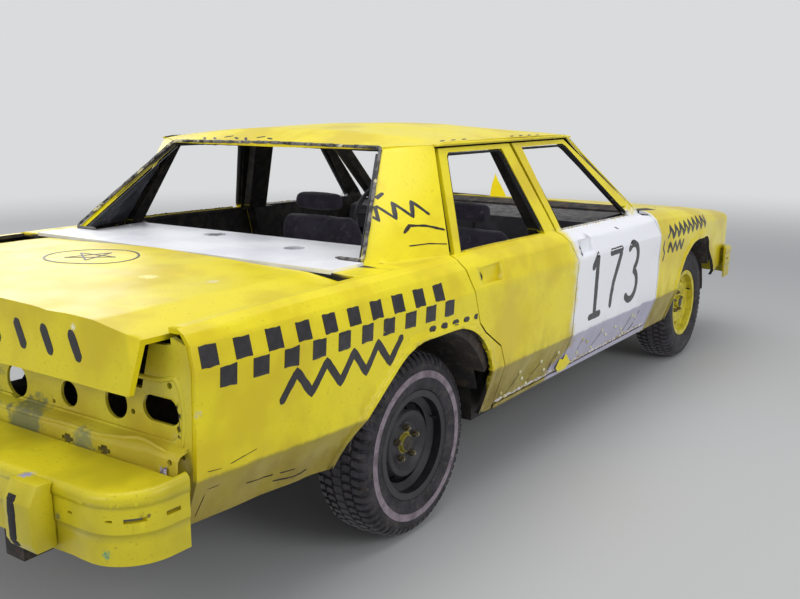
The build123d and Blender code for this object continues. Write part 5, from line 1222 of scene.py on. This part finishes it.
def stroke_form(surface, look, line, width, seed, ragged=0.10, thick=0.0012, step=0.008, blunt=True):
    """One brush stroke along a flat line, thrown onto a surface: a thin closed strip. Places
    where it misses the surface, or meets another part far behind, are left out."""
    start, way = LOOKS[look]
    points = spaced([(u, v, 0) for u, v in line], step)
    verts = []
    shares = (-1, -0.94, 0, 0.94, 1) if width < 0.04 else (-1, -0.94, -0.6, -0.3, 0, 0.3, 0.6, 0.94, 1)
    ring = len(shares)
    depth = None
    for i, p in enumerate(points):
        ahead = (points[min(i + 1, len(points) - 1)] - points[max(i - 1, 0)]).normalized()
        across = Vector((-ahead.y, ahead.x, 0))
        near_end = min(i, len(points) - 1 - i) * step
        half = width / 2 * (1 + ragged * noise.noise(Vector((p.x * 40, p.y * 40, seed * 7.1))))
        if blunt and near_end < width / 2:
            half *= math.sqrt(max(0.06, 1 - (1 - near_end / (width / 2)) ** 2))
        row = []
        for k, share in enumerate(shares):
            q = p + across * (half * share * (1 + 0.3 * ragged * noise.noise(Vector((p.x * 90, k, seed)))))
            origin = start(q.x, q.y)
            hit = surface.ray_cast(origin, way)[0]
            if hit is None or (depth is not None and abs((hit - origin).length - depth) > 0.04):
                break
            depth = (hit - origin).length
            lift = -0.0006 if k in (0, ring - 1) else thick * (1.0 + 0.3 * noise.noise(q * 120))
            row.append(hit - way * lift)
        if len(row) == ring:
            verts += row
    rows = len(verts) // ring
    return (verts, tube_faces(rows, ring)) if rows > 1 else ([], [])


def painted(name, node, look, strokes, body, material=mark_paint, slot="black_steel", **how):
    """Strokes of (line, width) as one piece on a panel."""
    surface = surface_of(skins[node]) if isinstance(node, str) else node
    forms = [stroke_form(surface, look, line, width, i + len(name), **how)
             for i, (line, width) in enumerate(strokes)]
    piece = gathered(name, [form for form in forms if form[0]], material, sharp=50)
    settle(piece, body)


def zigzag(u_from, u_to, v, height, turns, lean=0.0):
    """A zigzag line between two places."""
    points = []
    for i in range(turns + 1):
        share = i / turns
        swing = height / 2 if i % 2 else -height / 2
        points.append((u_from + (u_to - u_from) * share, v + lean * share + swing))
    return points


def arc(u, v, radius_u, radius_v, from_turn, to_turn, count=14):
    """Points on part of an oval, turns in degrees."""
    turns = [math.radians(from_turn + (to_turn - from_turn) * i / count) for i in range(count + 1)]
    return [(u + radius_u * math.cos(turn), v + radius_v * math.sin(turn)) for turn in turns]


# race number on both front doors, in three plain figures
def number_strokes(u, flip):
    """The figures 1, 7 and 3, from u onward; flip turns them for the left side."""
    low, high = 0.562, 0.842
    figures = [
        ([(u + 0.030, high - 0.060), (u + 0.085, high), (u + 0.085, low)], 0.038),
        ([(u + 0.015, low), (u + 0.160, low)], 0.032),
        ([(u + 0.225, high - 0.008), (u + 0.385, high - 0.008)], 0.036),
        ([(u + 0.372, high - 0.012), (u + 0.300, low + 0.120), (u + 0.275, low)], 0.038),
        (arc(u + 0.520, high - 0.066, 0.066, 0.066, 150, -75), 0.036),
        (arc(u + 0.520, low + 0.074, 0.074, 0.074, 80, -150), 0.036),
    ]
    if flip:
        middle = u + 0.30
        figures = [([(2 * middle - a, b) for a, b in line], width) for line, width in figures]
    return figures


for side, sign in SIDES:
    door, quarter, fender = f"front_door_{side}", f"quarter_panel_{side}", f"front_fender_{side}"
    painted(f"race_number_{side}", door, side, number_strokes(0.035, sign > 0), door)
    # chequered band, flashes and dashes on the quarter panels
    check = []
    for k in range(20):
        u = -2.262 + k * 0.057
        crease = 0.873 - 0.011 * (u + 2.29)     # one row on each side of the side crease
        for row in (-1, 1):
            if (2 * k + row) % 4 == 1:
                v = crease + row * 0.031
                check.append(([(u, v), (u + 0.057, v - 0.001)], 0.056))
    painted(f"chequered_band_{side}", quarter, side, check, "body", blunt=False, ragged=0.14)
    painted(f"lightning_flash_{side}", quarter, side, [
        (zigzag(-1.990, -1.420, 0.752, 0.078, 9), 0.027)], "body")
    painted(f"small_dashes_{side}", quarter, side, [
        ([(-1.27 + 0.072 * k, 0.778 - 0.003 * k), (-1.23 + 0.072 * k, 0.776 - 0.003 * k)], 0.020)
        for k in range(6)], "body")
    painted(f"pillar_waves_{side}", quarter, side, [
        (zigzag(-1.250, -1.010, 1.135, 0.048, 8, 0.012), 0.012),
        (zigzag(-1.235, -1.100, 1.190, 0.022, 3), 0.008),
    ], "body", ragged=0.3, step=0.005)
    painted(f"fender_waves_{side}", fender, side, [
        (zigzag(1.080, 1.760, 0.832, 0.062, 17), 0.024),
        (zigzag(1.090, 1.330, 0.748, 0.050, 7), 0.020),
        ([(1.02, 0.80), (1.00, 0.76), (1.03, 0.73), (1.00, 0.69)], 0.014),
    ], "body", ragged=0.35)
    painted(f"roof_edge_dashes_{side}", "roof_panel", "top", [
        ([(u, sign * 0.700), (u + 0.045, sign * 0.690)], 0.010)
        for u in (-0.78, -0.70, -0.62, -0.22, -0.14, -0.06, 0.02)], "body")
painted("lid_slashes", "trunk_lid", "rear",
        [([(-0.63 + 0.118 * k, 0.868), (-0.585 + 0.118 * k, 0.945)], 0.030) for k in range(11)], "trunk_lid")
STAR_U, STAR_V = -1.79, 0.08
turns = [math.radians(90 + 144 * k) for k in range(6)]
tips = [(STAR_U + 0.085 * math.sin(turn), STAR_V + 0.10 * math.cos(turn)) for turn in turns]
painted("ringed_star", "trunk_lid", "top", [(arc(STAR_U, STAR_V, 0.145, 0.175, 0, 360, 40), 0.008)] + [
    ([tip, next_tip], 0.007) for tip, next_tip in zip(tips, tips[1:])], "trunk_lid")
painted("roof_dashes", "roof_panel", "top", [
    ([(-0.925 + 0.03 * math.sin(2 * k), 0.02 + 0.062 * k), (-0.915, 0.055 + 0.062 * k)], 0.012)
    for k in range(7)], "body")


# Damage drawn in metal: seams of the lower skins that have sprung, slits torn in the panels,
# bolt heads along them, and the crusty weld and filler along the doors' bottom edges.
torn_edge = worn("torn_steel_edge", "#1A1512", [(8, 4.0, 0.45, 0.6, "#3B2A1C")], 0.8)
filler = worn("sprayed_over_filler", "#D9D5DC", [
    (18, 5.0, 0.42, 0.60, "#9B8F5A"), (9, 5.0, 0.60, 0.68, "#2E2620")], 0.7, (5, 5.0, 0.6, 0.002))

SLITS = {
    "rear_door": [
        ([(-0.729, 0.482), (-0.775, 0.435), (-0.833, 0.379)], 0.006),
        ([(-0.551, 0.445), (-0.621, 0.372)], 0.004),
        ([(-0.359, 0.445), (-0.438, 0.378)], 0.004), ([(-0.225, 0.470), (-0.250, 0.378)], 0.004),
        ([(-0.189, 0.445), (-0.234, 0.378)], 0.008), ([(-0.106, 0.905), (-0.112, 0.882)], 0.010),
        ([(-0.918, 0.914), (-0.892, 0.882)], 0.030)],
    "front_door": [
        ([(0.069, 0.450), (0.040, 0.405)], 0.004), ([(0.270, 0.450), (0.205, 0.395)], 0.004),
        ([(0.643, 0.455), (0.600, 0.385)], 0.004), ([(0.800, 0.455), (0.755, 0.405), (0.686, 0.369)], 0.009),
        ([(-0.055, 0.905), (-0.040, 0.885), (-0.050, 0.862)], 0.016),
        ([(0.40, 0.935), (0.43, 0.925)], 0.006)],
    "quarter_panel": [
        ([(-2.251, 0.603), (-2.203, 0.597)], 0.0018),
        ([(-2.174, 0.600), (-2.130, 0.606), (-2.078, 0.612)], 0.0022),
        ([(-2.240, 0.548), (-2.262, 0.474)], 0.0024), ([(-2.240, 0.548), (-2.196, 0.545)], 0.002),
        ([(-2.094, 0.512), (-2.02, 0.498), (-1.899, 0.489)], 0.0035),
        ([(-1.980, 0.475), (-1.90, 0.462), (-1.83, 0.460)], 0.0045),
        ([(-1.139, 1.068), (-1.101, 1.092), (-1.044, 1.088), (-0.985, 1.070)], 0.009),
        ([(-1.150, 1.028), (-1.070, 1.030), (-0.992, 1.022)], 0.004)],
}
for node, lines in SLITS.items():
    for side, sign in SIDES:
        rides_on = "body" if node == "quarter_panel" else f"{node}_{side}"
        some = lines if sign < 0 else lines[1:-3]
        painted(f"sprung_seams_{node}_{side}", f"{node}_{side}", side, some, rides_on,
                material=torn_edge, ragged=0.5, thick=0.0008, step=0.006)
for side, sign in SIDES:
    beside = [skins[f"{door}_{side}"] for door in ("front_door", "rear_door")]
    painted(f"pillar_slit_{side}", surface_of(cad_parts[f"side_frame_{side}"], *beside), side,
            [([(-0.262, 1.225), (-0.215, 1.160), (-0.172, 1.090)], 0.013)], "body",
            material=torn_edge, ragged=0.5, step=0.006)

bolt_paint = enamel("chipped_enamel_on_bolts", "#DAD9B8", "#B9AF63", dirt=0.2, hidden_side=False)
BOLTS = {
    "rear_door": [
        (-0.551, 0.452), (-0.625, 0.366), (-0.359, 0.452), (-0.442, 0.372), (-0.50, 0.41), (-0.30, 0.40),
        (-0.189, 0.452), (-0.67, 0.39), (-0.72, 0.50),
    ],
    "front_door": [
        (0.069, 0.458), (0.04, 0.398), (0.275, 0.458), (0.200, 0.388), (0.650, 0.462), (0.595, 0.378),
        (0.35, 0.42), (0.45, 0.44), (0.55, 0.41), (0.72, 0.44), (0.14, 0.43),
    ],
}
dome = turned_form([(0.0085, -0.002), (0.0085, 0.0025), (0.0055, 0.0055), (0.002, 0.0065)], 10)
for node, places in BOLTS.items():
    for side, sign in SIDES:
        surface = surface_of(skins[f"{node}_{side}"])
        start, way = LOOKS[side]
        hits = [surface.ray_cast(start(u, v), way)[0] for u, v in places]
        heads = gathered(f"bolt_heads_{node}_{side}", [
            set_on_side(dome, hit.x, sign * hit.y, hit.z, sign) for hit in hits if hit], bolt_paint)
        settle(heads, f"{node}_{side}")

DOOR_FEET = {"rear_door": (-0.70, -0.135), "front_door": (-0.095, 0.905)}
for node, (u_from, u_to) in DOOR_FEET.items():
    for side, sign in SIDES:
        surface = surface_of(skins[f"{node}_{side}"])
        start, way = LOOKS[side]
        foot = []
        for p in spaced([(u_from, 0.363, 0), (u_to, 0.363, 0)], 0.012):
            hit = surface.ray_cast(start(p.x, p.y), way)[0]
            if hit:
                foot.append(hit - way * 0.001 + Vector((0, 0, 0.003 * noise.noise(p * 30))))
        crust = bead(f"bottom_filler_{node}_{side}", foot, 0.012, 0.006, filler, (0, sign, 0),
                     sides=7, rough=1.1, step=0.012, seed=3)
        settle(crust, f"{node}_{side}")


# Torn sheet metal: a bent yellow tab at the sill between the doors, ragged strips along the
# belt edges of the doors, and the flap standing up from the hood.
def torn_sheet(name, outline, thickness, way, material, body, curl, seed):
    """A flat outline given a thickness along its way, and curled by its distance from the first point."""
    way = Vector(way).normalized()
    outline = [Vector(p) for p in outline]
    near = []
    for p in outline:
        bend = curl * ((p - outline[0]).length / 0.1) ** 2
        near.append(p + way * (bend + 0.002 * noise.noise(p * 50 + Vector((seed, 0, 0)))))
    verts = near + [p + way * thickness for p in near]
    settle(new_piece(name, verts, tube_faces(2, len(outline), flip=True), material), body)


flap_enamel = enamel("sprayed_yellow_flap", YELLOW, YELLOW_DEEP, dirt=0.1, hidden_side=False)
torn_sheet("bent_sill_tab", [
    (-0.175, -0.925, 0.372), (-0.150, -0.930, 0.412), (-0.128, -0.936, 0.405), (-0.110, -0.940, 0.428),
    (-0.088, -0.938, 0.398), (-0.062, -0.934, 0.380), (-0.100, -0.926, 0.352), (-0.150, -0.922, 0.350),
], 0.0025, (0.3, -1, 0), lid_enamel, "rear_door_right", curl=0.006, seed=1)
torn_sheet("torn_hood_flap", [
    (1.640, 0.440, 0.880), (1.650, 0.430, 0.975), (1.663, 0.408, 1.055), (1.672, 0.394, 1.010),
    (1.680, 0.378, 0.980), (1.694, 0.356, 0.930), (1.708, 0.335, 0.878),
], 0.003, (0.8, 0.6, 0), flap_enamel, "hood", curl=0.004, seed=2)
for node, u_from, u_to, material, slot in (("rear_door", -0.92, -0.29, lid_enamel, "yellow_paint"),
                                           ("front_door", -0.09, 0.68, filler, "white_paint")):
    for side, sign in SIDES:
        surface = surface_of(skins[f"{node}_{side}"])
        verts = []
        for p in spaced([(u_from, 0, 0), (u_to, 0, 0)], 0.011):
            hit = surface.ray_cast(Vector((p.x, sign * 0.895, 1.2)), Vector((0, 0, -1)))[0]
            if hit is None:
                continue
            jag = 0.004 + 0.006 * abs(noise.noise(Vector((p.x * 45, sign, 3))))
            jag += 0.004 * max(0, noise.noise(Vector((p.x * 150, 1, 1))))
            lower = hit - Vector((0, 0, 0.003))
            upper = hit + Vector((0, sign * 0.002 * noise.noise(Vector((p.x * 70, 5, 5))), jag))
            thick = Vector((0, sign * 0.0025, 0))
            verts += [lower, upper, upper + thick, lower + thick]
        strip = new_piece(f"torn_belt_edge_{node}_{side}", verts, tube_faces(len(verts) // 4, 4), material)
        settle(strip, f"{node}_{side}")
